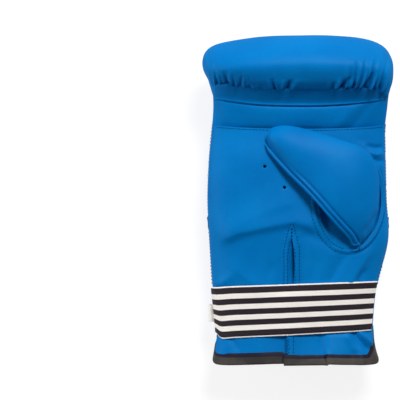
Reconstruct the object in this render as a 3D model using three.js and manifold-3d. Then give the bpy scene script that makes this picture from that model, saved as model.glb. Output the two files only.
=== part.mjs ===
// A padded punching mitt for bag work, for the right hand, lying on its back with the palm up.
// X runs across the mitt with the thumb at +X, Y runs from the cuff to the fingertips, Z is up.
// The tables count Y from the cuff's hem; the group at the end moves the middle of the length to the origin.
import * as THREE from "three";
import { mergeVertices } from "three/addons/utils/BufferGeometryUtils.js";
import Module from "manifold-3d";

// Driving dimensions in millimetres
const LENGTH = 263; // hem to fingertips
const WIDTH = 152; // across the padded roll at the fingertips
const ROLL_HEIGHT = 75; // table to the top of the roll
const LEATHER = 2.4; // wall of sewn leather with its lining
const GAP = 0.3; // between two pieces that are sewn together
const BINDING_WIDTH = 7; // black tape round the hem
const BINDING_BULGE = 0.8; // how far the tape stands out from the wall on each side
const HEM_RISE = { thumbSide: 14, farSide: 9 }; // how much higher the hem sits at the side seams
const STRAP_WIDTH = 39;
const STRAP_THICKNESS = 1.8;
const VENT_RADIUS = 1.3;

const SQUARENESS = 3; // power of the superellipse that each cross-section follows
const TIP_SQUARENESS = { thumbSide: 3.6, farSide: 5 }; // the same for the fingertips seen from above
const POLE_Y = 216; // where the side seams end and the gathered seam begins

// Cross-sections from hem to fingertips: the two sides seen from above, the height of the back,
// of the side seams and of the palm
const SECTIONS = [
  { y: 0, left: -67, right: 64.5, back: 6.5, side: 24, palm: 43 },
  { y: 26, left: -64, right: 61, back: 6, side: 23, palm: 41 },
  { y: 62, left: -67.5, right: 64.5, back: 5, side: 24, palm: 44 },
  { y: 100, left: -70, right: 73.5, back: 3.6, side: 26, palm: 47.5 },
  { y: 132, left: -71.5, right: 72, back: 2.4, side: 28, palm: 49 },
  { y: 165, left: -70.3, right: 71, back: 2, side: 31, palm: 49 },
  { y: 190, left: -68, right: 70.5, back: 2, side: 34, palm: 47.5 },
  { y: 206, left: -67, right: 72, back: 2, side: 37, palm: 53 },
  { y: 218, left: -68.5, right: 73.5, back: 2, side: 39, palm: 58 },
  { y: 236, left: -76, right: 76.5, back: 7, side: 39, palm: 75 },
  { y: 263, left: -77, right: 76.5, back: 38, side: 39, palm: 38 },
];

// Side view of the padded hood, from the seam across the back round the fingertips to the gathered seam:
// its outside, and the hand's side of the padding
const BACK_SEAM_Y = 118;
const HOOD = [
  { y: BACK_SEAM_Y, z: 2.9, handY: BACK_SEAM_Y, handZ: 6.5 },
  { y: 132, z: 0.4, handY: 132, handZ: 8.5 },
  { y: 150, z: -1.2, handY: 150, handZ: 12 },
  { y: 170, z: -1.6, handY: 170, handZ: 16 },
  { y: 190, z: -1.6, handY: 190, handZ: 20 },
  { y: 208, z: -0.9, handY: 207, handZ: 25 },
  { y: 224, z: 2, handY: 216, handZ: 29.5 },
  { y: 240, z: 9, handY: 221, handZ: 33 },
  { y: 254, z: 21, handY: 225, handZ: 37 },
  { y: LENGTH, z: 39, handY: 227, handZ: 41 },
  { y: 260, z: 55, handY: 226.5, handZ: 45 },
  { y: 250, z: 68.5, handY: 225, handZ: 48 },
  { y: 237, z: ROLL_HEIGHT, handY: 222.5, handZ: 50.5 },
  { y: 225, z: 71, handY: 220, handZ: 52.3 },
  { y: 218.5, z: 60, handY: 218.2, handZ: 53.5 },
];
const INSIDE_POLE_Y = 214;
const SIDE_PADDING = 8; // thickness of the hood's walls at the side seams

// Stitched lines of the quilting, as a share of the half-width; they run from the back seam to the fingertips
const QUILT_LINES = [-0.765, -0.48, -0.184, 0.184, 0.546, 0.84];
const QUILT_DEPTH = 3.2;
const QUILT_END_Z = 44; // the stitching stops just past the fingertips

// Pleats where the roll is gathered into its seam: place along the seam, depth, half-width, length up the roll
const PLEATS = [
  { x: -60, depth: 3.2, width: 3.4, reach: 26 },
  { x: -51, depth: 3.4, width: 3.4, reach: 20 },
  { x: -41, depth: 2.4, width: 3, reach: 10 },
  { x: -19, depth: 2.2, width: 3, reach: 10 },
  { x: -9, depth: 2.8, width: 3.2, reach: 9 },
  { x: 33, depth: 3.6, width: 3.4, reach: 12 },
  { x: 43, depth: 2.8, width: 3.2, reach: 20 },
  { x: 53, depth: 3.4, width: 3.4, reach: 19 },
  { x: 63, depth: 2.4, width: 3, reach: 30 },
];

// Soft creases of the palm: a ridge from one point to the other, its height and half-width
const PALM_CREASES = [
  { x1: -66, y1: 100, x2: -8, y2: 116, height: 1.6, width: 7 },
  { x1: -8, y1: 116, x2: 24, y2: 104, height: 1.3, width: 6 },
  { x1: -60, y1: 92, x2: -38, y2: 68, height: 1.2, width: 8 },
  { x1: 26, y1: 68, x2: 60, y2: 96, height: 1.2, width: 7 },
];
// Waves of the cuff's palm side between strap and hem: place, height and half-width
const HEM_WAVES = [
  { x: -40, height: -1.2, width: 9 },
  { x: -4, height: 3.0, width: 9 },
  { x: 24, height: -2.2, width: 6 },
  { x: 44, height: 2.0, width: 9 },
];

const SLIT = { x: -6, width: 3, top: 112 };
const VENTS = [
  { x: -25.5, y: 158.5 },
  { x: -11, y: 142.5 },
];

// The seams that cross the fingers on the palm side, as Y at the middle and how much they rise to the sides
const BAND_SEAM = { y: 206, rise: 6 };
const PALM_SEAM = { y: 189, rise: 3 };

// Thumb from tip to crotch: its lower edge (a) and upper edge (b) seen from above, how high each edge
// lies over the palm, and how far the pad swells above and below the line between them
const THUMB = [
  { ax: -26, ay: 180.5, bx: -24.4, by: 184.6, aUp: 8, bUp: 8, crown: 1.6, belly: 0.8 },
  { ax: -24, ay: 175, bx: -19.5, by: 189.4, aUp: 8.5, bUp: 8, crown: 6, belly: 3 },
  { ax: -19, ay: 165.5, bx: -9, by: 191, aUp: 9, bUp: 7, crown: 9.5, belly: 4 },
  { ax: -10, ay: 153.5, bx: 10, by: 187.5, aUp: 10, bUp: 5.5, crown: 13, belly: 5 },
  { ax: 2, ay: 141.5, bx: 31, by: 180.8, aUp: 11, bUp: 4, crown: 16, belly: 5 },
  { ax: 13.5, ay: 129.6, bx: 51, by: 172.6, aUp: 11, bUp: 2.5, crown: 17.5, belly: 6 },
  { ax: 23, ay: 119.5, bx: 63, by: 156.5, aUp: 9.5, bUp: 1.6, crown: 16, belly: 6 },
  { ax: 32, ay: 109, bx: 66, by: 136, aUp: 7, bUp: 1.2, crown: 12.5, belly: 4 },
  { ax: 40, ay: 102.5, bx: 61, by: 111, aUp: 3.5, bUp: 1.2, crown: 7, belly: 1.5 },
  { ax: 44.6, ay: 98.4, bx: 50.4, by: 99.4, aUp: 1.6, bUp: 1.4, crown: 1.4, belly: 0.2 },
];
// Neck of the thumb, from its seam on the palm up into the pad: an oval per level
const THUMB_NECK = [
  { x: 38.5, y: 132, halfX: 27, halfY: 38, up: 0.8 },
  { x: 42, y: 136, halfX: 22, halfY: 30, up: 4 },
  { x: 44, y: 139, halfX: 17, halfY: 23, up: 9 },
  { x: 45, y: 140, halfX: 13, halfY: 18, up: 14 },
];
const THUMB_CLEARANCE = 0.9; // between the palm and the thumb's underside
const THUMB_WALL = 2.4;
const THUMB_EDGE = 0.3; // half the thickness of the seam round the thumb

// Reads one column of a table at any station along it, with a smooth curve through the rows
function columnOf(rows, station, name) {
  const at = rows.map((row) => row[station]);
  const value = rows.map((row) => row[name]);
  const last = rows.length - 1;
  const slope = value.map((_, i) => {
    const before = Math.max(i - 1, 0);
    const after = Math.min(i + 1, last);
    return (value[after] - value[before]) / (at[after] - at[before]);
  });
  return (place) => {
    const p = THREE.MathUtils.clamp(place, at[0], at[last]);
    const i = Math.min(at.findLastIndex((a) => a <= p), last - 1);
    const span = at[i + 1] - at[i];
    const t = (p - at[i]) / span;
    const t2 = t * t;
    const t3 = t2 * t;
    return (
      value[i] * (2 * t3 - 3 * t2 + 1) +
      value[i + 1] * (3 * t2 - 2 * t3) +
      slope[i] * span * (t3 - 2 * t2 + t) +
      slope[i + 1] * span * (t3 - t2)
    );
  };
}
const leftAt = columnOf(SECTIONS, "y", "left");
const rightAt = columnOf(SECTIONS, "y", "right");
const backAt = columnOf(SECTIONS, "y", "back");
const sideAt = columnOf(SECTIONS, "y", "side");
const palmAt = columnOf(SECTIONS, "y", "palm");
const middleAt = (y) => (rightAt(y) + leftAt(y)) / 2;
const halfWidthAt = (y) => (rightAt(y) - leftAt(y)) / 2;

// How far a section has risen from its side seam at a share of its half-width: 0 at the side, 1 in the middle
const rise = (share, power = SQUARENESS) => Math.max(0, 1 - Math.abs(share) ** power) ** (1 / power);
const tipRise = (share) => rise(share, share > 0 ? TIP_SQUARENESS.thumbSide : TIP_SQUARENESS.farSide);

const mix = THREE.MathUtils.lerp;
const bell = (distance, width) => Math.exp(-((distance / width) ** 2));
const ramp = (value, from, to) => THREE.MathUtils.smoothstep(value, from, to);

// Distance from a point to a straight line between two others, seen from above
function distanceTo(x, y, { x1, y1, x2, y2 }) {
  const along = ((x - x1) * (x2 - x1) + (y - y1) * (y2 - y1)) / ((x2 - x1) ** 2 + (y2 - y1) ** 2);
  const t = THREE.MathUtils.clamp(along, 0, 1);
  return Math.hypot(x - x1 - t * (x2 - x1), y - y1 - t * (y2 - y1));
}

// Height of the palm's creases and of the cuff's waves
function palmRelief(x, y) {
  const creases = PALM_CREASES.reduce((sum, c) => sum + c.height * bell(distanceTo(x, y, c), c.width), 0);
  const nearHem = 1 - ramp(y, 8, 34);
  const waves = HEM_WAVES.reduce((sum, w) => sum + w.height * bell(x - w.x, w.width), 0);
  return creases * ramp(y, 40, 70) + waves * nearHem;
}

// A point of the upper half of the mitt, at a share of the half-width and moved in by a depth
function palmPoint(share, y, depth = 0) {
  const x = middleAt(y) + (halfWidthAt(y) - depth) * share;
  const lift = rise(share);
  const top = palmAt(y) - depth + palmRelief(x, y);
  const side = sideAt(y) + GAP / 2;
  return new THREE.Vector3(x, y, side + (top - side) * lift);
}
const palmHeight = (x, y) => palmPoint((x - middleAt(y)) / halfWidthAt(y), y).z;

// The same for the lower half
function backPoint(share, y, depth = 0) {
  const x = middleAt(y) + (halfWidthAt(y) - depth) * share;
  const side = sideAt(y) - GAP / 2;
  return new THREE.Vector3(x, y, side - (side - backAt(y) - depth) * rise(share));
}

// The hem sits higher at the side seams: on the palm it turns up sharply, on the back in one long curve
const hemAtSeam = (share) => (share > 0 ? HEM_RISE.thumbSide : HEM_RISE.farSide);
const hemOfPalm = (share) => hemAtSeam(share) * (1 - rise(share)) ** 2;
const hemOfBack = (share) => hemAtSeam(share) * Math.abs(share) ** 2.2;

const seamAt = (seam, share) => seam.y + seam.rise * Math.abs(share) ** 2.5;
const gatherSeamAt = (share) => mix(INSIDE_POLE_Y, HOOD.at(-1).handY, tipRise(share));

// Shares of the half-width from one side to the other, closer together where the section turns
function sharesAcross(count) {
  return Array.from({ length: count + 1 }, (_, i) => {
    const t = (2 * i) / count - 1;
    return Math.sign(t) * (1 - Math.pow(1 - Math.abs(t), 1.8));
  });
}
const CUFF_COLUMNS = 24;
const steps = (count) => Array.from({ length: count + 1 }, (_, i) => i / count);

const wasm = await Module();
wasm.setup();

// Turns a closed geometry into a solid that can be joined and cut, its faces pointing out
function solidOf(geometry) {
  const bare = geometry.index ? geometry.toNonIndexed() : geometry.clone();
  bare.deleteAttribute("normal");
  bare.deleteAttribute("uv");
  const merged = mergeVertices(bare, 1e-3);
  const vertProperties = merged.attributes.position.array;
  const triVerts = new Uint32Array(merged.index.array);
  const made = new wasm.Manifold(new wasm.Mesh({ numProp: 3, vertProperties, triVerts }));
  if (made.volume() > 0) return made;
  triVerts.reverse();
  return new wasm.Manifold(new wasm.Mesh({ numProp: 3, vertProperties, triVerts }));
}
const solidFrom = (positions) =>
  solidOf(new THREE.BufferGeometry().setAttribute("position", new THREE.Float32BufferAttribute(positions, 3)));

function geometryOf(solid) {
  const { vertProperties, triVerts } = solid.getMesh();
  const geometry = new THREE.BufferGeometry();
  geometry.setAttribute("position", new THREE.BufferAttribute(vertProperties, 3));
  geometry.setIndex(new THREE.BufferAttribute(triVerts, 1));
  geometry.computeVertexNormals();
  return geometry;
}

// A closed solid between two grids of points with the same rows and columns
function wallBetween(outside, inside) {
  const positions = [];
  const triangle = (...corners) => {
    const [a, b, c] = corners;
    const collapsed = [[a, b], [b, c], [c, a]].some(([p, q]) => p.distanceTo(q) < 2e-3);
    if (!collapsed) corners.forEach((p) => positions.push(p.x, p.y, p.z));
  };
  const quad = (a, b, c, d) => {
    triangle(a, b, c);
    triangle(a, c, d);
  };
  const rows = outside.length - 1;
  const columns = outside[0].length - 1;
  for (let r = 0; r < rows; r++)
    for (let c = 0; c < columns; c++) {
      quad(outside[r][c], outside[r][c + 1], outside[r + 1][c + 1], outside[r + 1][c]);
      quad(inside[r][c], inside[r + 1][c], inside[r + 1][c + 1], inside[r][c + 1]);
    }
  for (let c = 0; c < columns; c++) {
    quad(outside[0][c], inside[0][c], inside[0][c + 1], outside[0][c + 1]);
    quad(outside[rows][c], outside[rows][c + 1], inside[rows][c + 1], inside[rows][c]);
  }
  for (let r = 0; r < rows; r++) {
    quad(outside[r][0], outside[r + 1][0], inside[r + 1][0], inside[r][0]);
    quad(outside[r][columns], inside[r][columns], inside[r + 1][columns], outside[r + 1][columns]);
  }
  return solidFrom(positions);
}

// An upright prism with a flat outline, used as a cutter
function uprightPrism(shape, fromZ, toZ, curveSegments = 12) {
  const geometry = new THREE.ExtrudeGeometry(shape, { depth: toZ - fromZ, bevelEnabled: false, curveSegments });
  return solidOf(geometry.translate(0, 0, fromZ));
}

// Padded hood: quilted back, roll over the fingertips, gathered end
function hoodColumns() {
  const stops = [-1, ...QUILT_LINES, 1];
  const perChannel = 5;
  const shares = [];
  for (let i = 0; i < stops.length - 1; i++)
    for (const t of steps(perChannel).slice(0, -1)) {
      const first = i === 0;
      const lastChannel = i === stops.length - 2;
      const eased = first ? t * t : lastChannel ? 1 - (1 - t) ** 2 : t;
      shares.push({ share: mix(stops[i], stops[i + 1], eased), puff: Math.sin(Math.PI * t) ** 0.75 });
    }
  shares.push({ share: 1, puff: 0 });
  return shares;
}

function hoodPoint(line, share, poleY, depth) {
  const pole = Math.abs(share) === 1;
  const lift = rise(share);
  const beyondPole = Math.max(0, line.y - poleY);
  const y = Math.min(line.y, poleY) + beyondPole * tipRise(share);
  const side = sideAt(Math.min(line.y, poleY));
  const below = line.z < side ? -GAP / 2 : 0;
  const onSeam = pole && line.y < poleY;
  const z = side + (onSeam ? below : 0) + (line.z - side) * lift;
  return new THREE.Vector3(middleAt(y) + (halfWidthAt(y) - depth) * share, y, z);
}

const sideLine = (y, z) =>
  new THREE.CatmullRomCurve3(HOOD.map((row) => new THREE.Vector3(0, row[y], row[z])), false, "centripetal");

function knucklePad() {
  const outsideLine = sideLine("y", "z");
  const handLine = sideLine("handY", "handZ");
  const columns = hoodColumns();
  const outside = [];
  const inside = [];
  for (const t of steps(30)) {
    const line = outsideLine.getPointAt(t);
    const onwards = outsideLine.getTangentAt(t);
    const inward = new THREE.Vector3(0, -onwards.z, onwards.y);
    const fromGather = (1 - t) * outsideLine.getLength();
    const pastTips = line.z > sideAt(LENGTH) ? ramp(line.z, QUILT_END_Z, QUILT_END_Z + 14) : 0;
    const quilt = ramp(t, 0, 0.03) * (1 - (line.y > POLE_Y ? pastTips : 0));
    outside.push(
      columns.map(({ share, puff }) => {
        const point = hoodPoint(line, share, POLE_Y, 0);
        const open = rise(share);
        const sunk = QUILT_DEPTH * (1 - puff) * quilt * Math.min(1, open * 1.4);
        const pleated = PLEATS.reduce(
          (sum, p) => sum + p.depth * bell(point.x - p.x, p.width) * (1 - ramp(fromGather, 0.35 * p.reach, p.reach)),
          0,
        );
        const onPalmSide = line.z > sideAt(LENGTH) ? 1 : 0;
        point.addScaledVector(inward, (sunk + pleated * onPalmSide) * Math.min(1, open * 1.3));
        point.z = Math.max(0, point.z);
        return point;
      }),
    );
    const hand = handLine.getPoint(outsideLine.getUtoTmapping(t));
    inside.push(columns.map(({ share }) => hoodPoint(hand, share, INSIDE_POLE_Y, SIDE_PADDING)));
  }
  return wallBetween(outside, inside);
}

// A strip of the upper half between two seams
function palmStrip(columns, rows, fromY, toY, swell, thickness) {
  const shares = sharesAcross(columns);
  const grid = (depth) =>
    steps(rows).map((t) =>
      shares.map((share) => {
        const y = mix(fromY(share), toY(share), t);
        const point = palmPoint(share, y, depth);
        point.z += swell(t) * rise(share);
        return point;
      }),
    );
  return wallBetween(grid(0), grid(thickness));
}

function palmPanel() {
  const fromY = (share) => hemOfPalm(share) + BINDING_WIDTH;
  const toY = (share) => seamAt(PALM_SEAM, share) - GAP;
  const wall = palmStrip(CUFF_COLUMNS, 18, fromY, toY, () => 0, LEATHER);
  const top = ROLL_HEIGHT;
  const neck = THUMB_NECK[0];
  const thumbHole = new THREE.Shape();
  thumbHole.absellipse(neck.x, neck.y, neck.halfX - LEATHER, neck.halfY - LEATHER, 0, 2 * Math.PI);
  const slit = new THREE.Shape([
    new THREE.Vector2(SLIT.x - SLIT.width / 2, -1),
    new THREE.Vector2(SLIT.x + SLIT.width / 2, -1),
    new THREE.Vector2(SLIT.x + SLIT.width / 2, SLIT.top - 12),
    new THREE.Vector2(SLIT.x, SLIT.top),
    new THREE.Vector2(SLIT.x - SLIT.width / 2, SLIT.top - 12),
  ]);
  let cut = wall.subtract(uprightPrism(thumbHole, 30, top, 20)).subtract(uprightPrism(slit, 30, top));
  for (const vent of VENTS) {
    const hole = new THREE.Shape();
    hole.absarc(vent.x, vent.y, VENT_RADIUS, 0, 2 * Math.PI);
    cut = cut.subtract(uprightPrism(hole, 30, top, 4));
  }
  return cut;
}

function backCuff() {
  const shares = sharesAcross(CUFF_COLUMNS);
  const grid = (depth) =>
    steps(7).map((t) =>
      shares.map((share) => backPoint(share, mix(hemOfBack(share) + BINDING_WIDTH, BACK_SEAM_Y - GAP, t), depth)),
    );
  return wallBetween(grid(0), grid(LEATHER));
}

// Folded welt that covers the seam across the back
const WELT_WIDTH = 8.5;
const WELT_THICKNESS = 1.2;
function backWelt() {
  const shares = sharesAcross(CUFF_COLUMNS).map((share) => share * 0.985);
  const profile = [
    { y: BACK_SEAM_Y - GAP - WELT_WIDTH, out: 0.6 * WELT_THICKNESS },
    { y: BACK_SEAM_Y - 3, out: WELT_THICKNESS },
    { y: BACK_SEAM_Y - 1, out: 1.4 * WELT_THICKNESS },
    { y: BACK_SEAM_Y - GAP, out: 0.9 * WELT_THICKNESS },
  ];
  const grid = (depthOf) => profile.map((row) => shares.map((share) => backPoint(share, row.y, depthOf(row))));
  return wallBetween(grid((row) => -GAP - row.out), grid(() => -GAP));
}

const BAND_THICKNESS = 5;
function fingerBand() {
  const fromY = (share) => seamAt(BAND_SEAM, share) + GAP;
  const toY = (share) => gatherSeamAt(share) - 2 * GAP;
  const strip = palmStrip(24, 4, fromY, toY, (t) => 3 * Math.sin(Math.PI * t) ** 0.6, BAND_THICKNESS);
  return strip.subtract(knucklePad());
}

function fingerGusset() {
  const fromY = (share) => seamAt(PALM_SEAM, share) + GAP;
  const toY = (share) => seamAt(BAND_SEAM, share) - GAP;
  return palmStrip(24, 4, fromY, toY, (t) => 2.4 * Math.sin(Math.PI * t) ** 0.6, BAND_THICKNESS);
}

// The elastic rises a little towards the thumb and wraps round both sides down to the side seams
const STRAP_MIDDLE = { left: 42, right: 47.5 };
function wristStrap() {
  const shares = sharesAcross(20).map((share) => share * (share > 0 ? 0.97 : 1));
  const grid = (out) =>
    steps(4).map((t) =>
      shares.map((share) => {
        const middle = mix(STRAP_MIDDLE.left, STRAP_MIDDLE.right, (share + 1) / 2);
        return palmPoint(share, middle + STRAP_WIDTH * (t - 0.5), -out);
      }),
    );
  return wallBetween(grid(0.5 + STRAP_THICKNESS), grid(0.5));
}

function cuffBinding(pointAt, hem, shares) {
  const grid = (depth) =>
    steps(2).map((t) => shares.map((share) => pointAt(share, hem(share) + t * (BINDING_WIDTH - GAP), depth)));
  return wallBetween(grid(-BINDING_BULGE), grid(LEATHER + BINDING_BULGE));
}
const backBinding = () => cuffBinding(backPoint, hemOfBack, sharesAcross(CUFF_COLUMNS));
// The palm's binding is cut by the slit: one piece to each side of it
function palmBinding(side) {
  const edge = (SLIT.x + (side * SLIT.width) / 2 - middleAt(0)) / halfWidthAt(0);
  const shares = sharesAcross(CUFF_COLUMNS).filter((share) => side * (share - edge) > 0.02);
  return cuffBinding(palmPoint, hemOfPalm, side > 0 ? [edge, ...shares] : [...shares, edge]);
}

function thumbForm(inset) {
  const across = steps(10);
  const rows = THUMB.map((row, k) => {
    const a = new THREE.Vector2(row.ax, row.ay);
    const b = new THREE.Vector2(row.bx, row.by);
    const width = a.distanceTo(b);
    const squeeze = Math.min(0.4, inset / width);
    const spine = a.clone().lerp(b, 0.5);
    const towards = new THREE.Vector2(30, 145).sub(spine).normalize();
    const endPull = k === 0 || k === THUMB.length - 1 ? inset * 1.2 : 0;
    return { row, a, b, squeeze, pull: towards.multiplyScalar(endPull) };
  });
  const surface = (side) =>
    rows.map(({ row, a, b, squeeze, pull }) =>
      across.map((t) => {
        const plan = a.clone().lerp(b, mix(squeeze, 1 - squeeze, (1 - Math.cos(Math.PI * t)) / 2)).add(pull);
        const floor = palmHeight(plan.x, plan.y) + THUMB_CLEARANCE + 0.9 * inset;
        const seam = Math.max(palmHeight(plan.x, plan.y) + mix(row.aUp, row.bUp, t), floor + THUMB_EDGE);
        const swell = Math.sin(Math.PI * t) ** 0.8;
        const high = seam + THUMB_EDGE + Math.max(0, row.crown - inset) * swell;
        const low = Math.max(seam - THUMB_EDGE - Math.max(0, row.belly - inset) * swell, floor);
        return new THREE.Vector3(plan.x, plan.y, side > 0 ? high : low);
      }),
    );
  return wallBetween(surface(1), surface(-1));
}

function thumbNeck(inset) {
  const around = steps(28).slice(0, -1);
  const ring = (level, extra = 0) =>
    around.map((t) => {
      const x = level.x + (level.halfX - inset) * Math.cos(2 * Math.PI * t);
      const y = level.y + (level.halfY - inset) * Math.sin(2 * Math.PI * t);
      return new THREE.Vector3(x, y, palmHeight(x, y) + level.up + extra);
    });
  const rings = THUMB_NECK.map((level, k) => ring(level, inset > 0 && k === 0 ? -3 : 0));
  const positions = [];
  const push = (...corners) => corners.forEach((p) => positions.push(p.x, p.y, p.z));
  const centreOf = (points) =>
    points.reduce((sum, p) => sum.add(p), new THREE.Vector3()).divideScalar(points.length);
  for (let k = 0; k < rings.length - 1; k++)
    around.forEach((_, i) => {
      const j = (i + 1) % around.length;
      push(rings[k][i], rings[k][j], rings[k + 1][j]);
      push(rings[k][i], rings[k + 1][j], rings[k + 1][i]);
    });
  const foot = centreOf(rings[0]);
  const head = centreOf(rings[rings.length - 1]);
  around.forEach((_, i) => {
    const j = (i + 1) % around.length;
    push(rings[0][j], rings[0][i], foot);
    push(rings[rings.length - 1][i], rings[rings.length - 1][j], head);
  });
  return solidFrom(positions);
}

function thumb() {
  const outside = thumbForm(0).add(thumbNeck(0));
  const inside = thumbForm(THUMB_WALL).add(thumbNeck(THUMB_WALL));
  return outside.subtract(inside);
}

// Piping sewn along the thumb's lower edge
const PIPING_RADIUS = 1.3;
function thumbPiping() {
  const stations = THUMB.slice(1, -2).map((row, i) => {
    const along = new THREE.Vector2(THUMB[i + 2].ax - THUMB[i].ax, THUMB[i + 2].ay - THUMB[i].ay);
    const outward = new THREE.Vector2(along.y, -along.x).setLength(PIPING_RADIUS + 3 * GAP);
    const z = palmHeight(row.ax, row.ay) + row.aUp;
    return new THREE.Vector3(row.ax + outward.x, row.ay + outward.y, z);
  });
  const section = new THREE.Shape();
  section.absarc(0, 0, PIPING_RADIUS, 0, 2 * Math.PI);
  const extrudePath = new THREE.CatmullRomCurve3(stations);
  return solidOf(new THREE.ExtrudeGeometry(section, { steps: 18, curveSegments: 8, extrudePath }));
}

const LABEL = { width: 13, reach: 6, thickness: 1, y: 41 };
function sideLabel() {
  const label = new THREE.BoxGeometry(LABEL.reach, LABEL.width, LABEL.thickness);
  const seatX = leftAt(LABEL.y + LABEL.width / 2) - GAP - LABEL.reach / 2;
  return solidOf(label.translate(seatX, LABEL.y, sideAt(LABEL.y) - 1));
}

const leather = new THREE.MeshStandardMaterial({ color: 0x0b6fc4, roughness: 0.42, metalness: 0 });
const elastic = new THREE.MeshStandardMaterial({ color: 0x8a8688, roughness: 0.85, metalness: 0 });
const tape = new THREE.MeshStandardMaterial({ color: 0x2c2a2e, roughness: 0.55, metalness: 0 });
const ribbon = new THREE.MeshStandardMaterial({ color: 0xe9e4dc, roughness: 0.8, metalness: 0 });

const mitt = new THREE.Group();
function piece(name, solid, material) {
  const mesh = new THREE.Mesh(geometryOf(solid), material);
  mesh.name = name;
  mitt.add(mesh);
}
piece("knuckle_pad", knucklePad(), leather);
piece("back_cuff", backCuff(), leather);
piece("back_welt", backWelt(), leather);
piece("finger_band", fingerBand(), leather);
piece("finger_gusset", fingerGusset(), leather);
piece("palm_panel", palmPanel(), leather);
piece("thumb", thumb(), leather);
piece("thumb_piping", thumbPiping(), leather);
piece("wrist_strap", wristStrap(), elastic);
piece("binding_back", backBinding(), tape);
piece("binding_palm_left", palmBinding(-1), tape);
piece("binding_palm_right", palmBinding(1), tape);
piece("side_label", sideLabel(), ribbon);
mitt.position.set(0, -LENGTH / 2, 0);

export default mitt;
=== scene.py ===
# %% [markdown]
# # A padded punching mitt
# This file dresses a bag mitt for the right hand. It lies on its padded back, palm up.
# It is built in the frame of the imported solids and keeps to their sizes. Blender adds the leather,
# the foam's softness, the seams with their stitches, the elastic and the tape round the hem.

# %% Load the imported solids
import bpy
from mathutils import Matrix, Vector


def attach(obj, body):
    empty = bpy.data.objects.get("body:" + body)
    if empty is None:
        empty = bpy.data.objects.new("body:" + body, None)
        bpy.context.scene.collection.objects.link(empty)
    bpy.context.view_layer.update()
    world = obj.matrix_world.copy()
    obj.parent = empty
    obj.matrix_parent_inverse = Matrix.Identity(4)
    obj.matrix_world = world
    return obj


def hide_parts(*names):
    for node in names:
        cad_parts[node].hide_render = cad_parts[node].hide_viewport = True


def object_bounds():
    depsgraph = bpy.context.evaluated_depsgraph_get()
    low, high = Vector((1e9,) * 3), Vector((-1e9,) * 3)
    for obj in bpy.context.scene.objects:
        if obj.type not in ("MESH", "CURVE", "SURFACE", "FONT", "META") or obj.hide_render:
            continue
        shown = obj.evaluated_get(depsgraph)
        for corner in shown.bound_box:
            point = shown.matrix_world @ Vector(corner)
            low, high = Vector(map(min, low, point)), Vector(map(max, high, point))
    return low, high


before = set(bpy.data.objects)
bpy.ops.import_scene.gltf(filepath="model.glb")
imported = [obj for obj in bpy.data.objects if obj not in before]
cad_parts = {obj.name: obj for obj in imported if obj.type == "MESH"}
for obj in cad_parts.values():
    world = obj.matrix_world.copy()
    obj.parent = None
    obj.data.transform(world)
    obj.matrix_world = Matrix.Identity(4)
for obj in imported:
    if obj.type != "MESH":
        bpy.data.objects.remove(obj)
cad_low, cad_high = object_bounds()
print("solids from", cad_low, "to", cad_high)

# %% [markdown]
# The helpers below come with Blender: bmesh edits meshes, mathutils has vectors and smooth noise,
# and numpy reads curves from short tables.

# %% Import Blender's helpers
from math import copysign, cos, dist, exp, hypot, pi, sin, tau

import bmesh
import bpy
import numpy as np
from mathutils import Matrix, Vector, noise
from mathutils.bvhtree import BVHTree

# %% [markdown]
# ## The camera
# The mitt is seen from straight above. A long lens far away keeps the sides of the deep mitt upright.
# The mitt lies to the right of the picture's middle, so the camera stands to the left of it instead of
# being turned or shifted.

# %% Set up the camera
PICTURE = 400  # pixels each way
PIXEL = 0.0008  # metres of the mitt to one pixel
MITT_X = 297  # the pixel column of the mitt's middle
MITT_Y = 0.0005  # the picture's middle row lies this far beyond the mitt's middle
SEEN_HEIGHT = 0.035  # the height at which the outline of the mitt is widest
CAMERA_HEIGHT = 1.9
SENSOR = 36  # millimetres

camera = bpy.data.objects.new("camera", bpy.data.cameras.new("camera"))
bpy.context.collection.objects.link(camera)
camera.location = ((PICTURE / 2 - MITT_X) * PIXEL, MITT_Y, CAMERA_HEIGHT)
camera.data.sensor_width = SENSOR
camera.data.lens = SENSOR * (CAMERA_HEIGHT - SEEN_HEIGHT) / (PICTURE * PIXEL)
camera.data.clip_end = 20
bpy.context.scene.camera = camera
print("lens", round(camera.data.lens), "mm")

# %% [markdown]
# ## The mitt's form
# A mitt is a soft tube that is closed at the fingertips. Short tables hold its cross-sections and its
# side view in millimetres, counted from the hem of the cuff, and a smooth curve runs through the rows.
# The solids were shaped from nearly the same tables, so each dressed piece lies close to its solid.

# %% Tables of the form
def table(names, rows):
    """Gives each value of each row the name of its column."""
    return [dict(zip(names.split(), row)) for row in rows]


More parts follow.
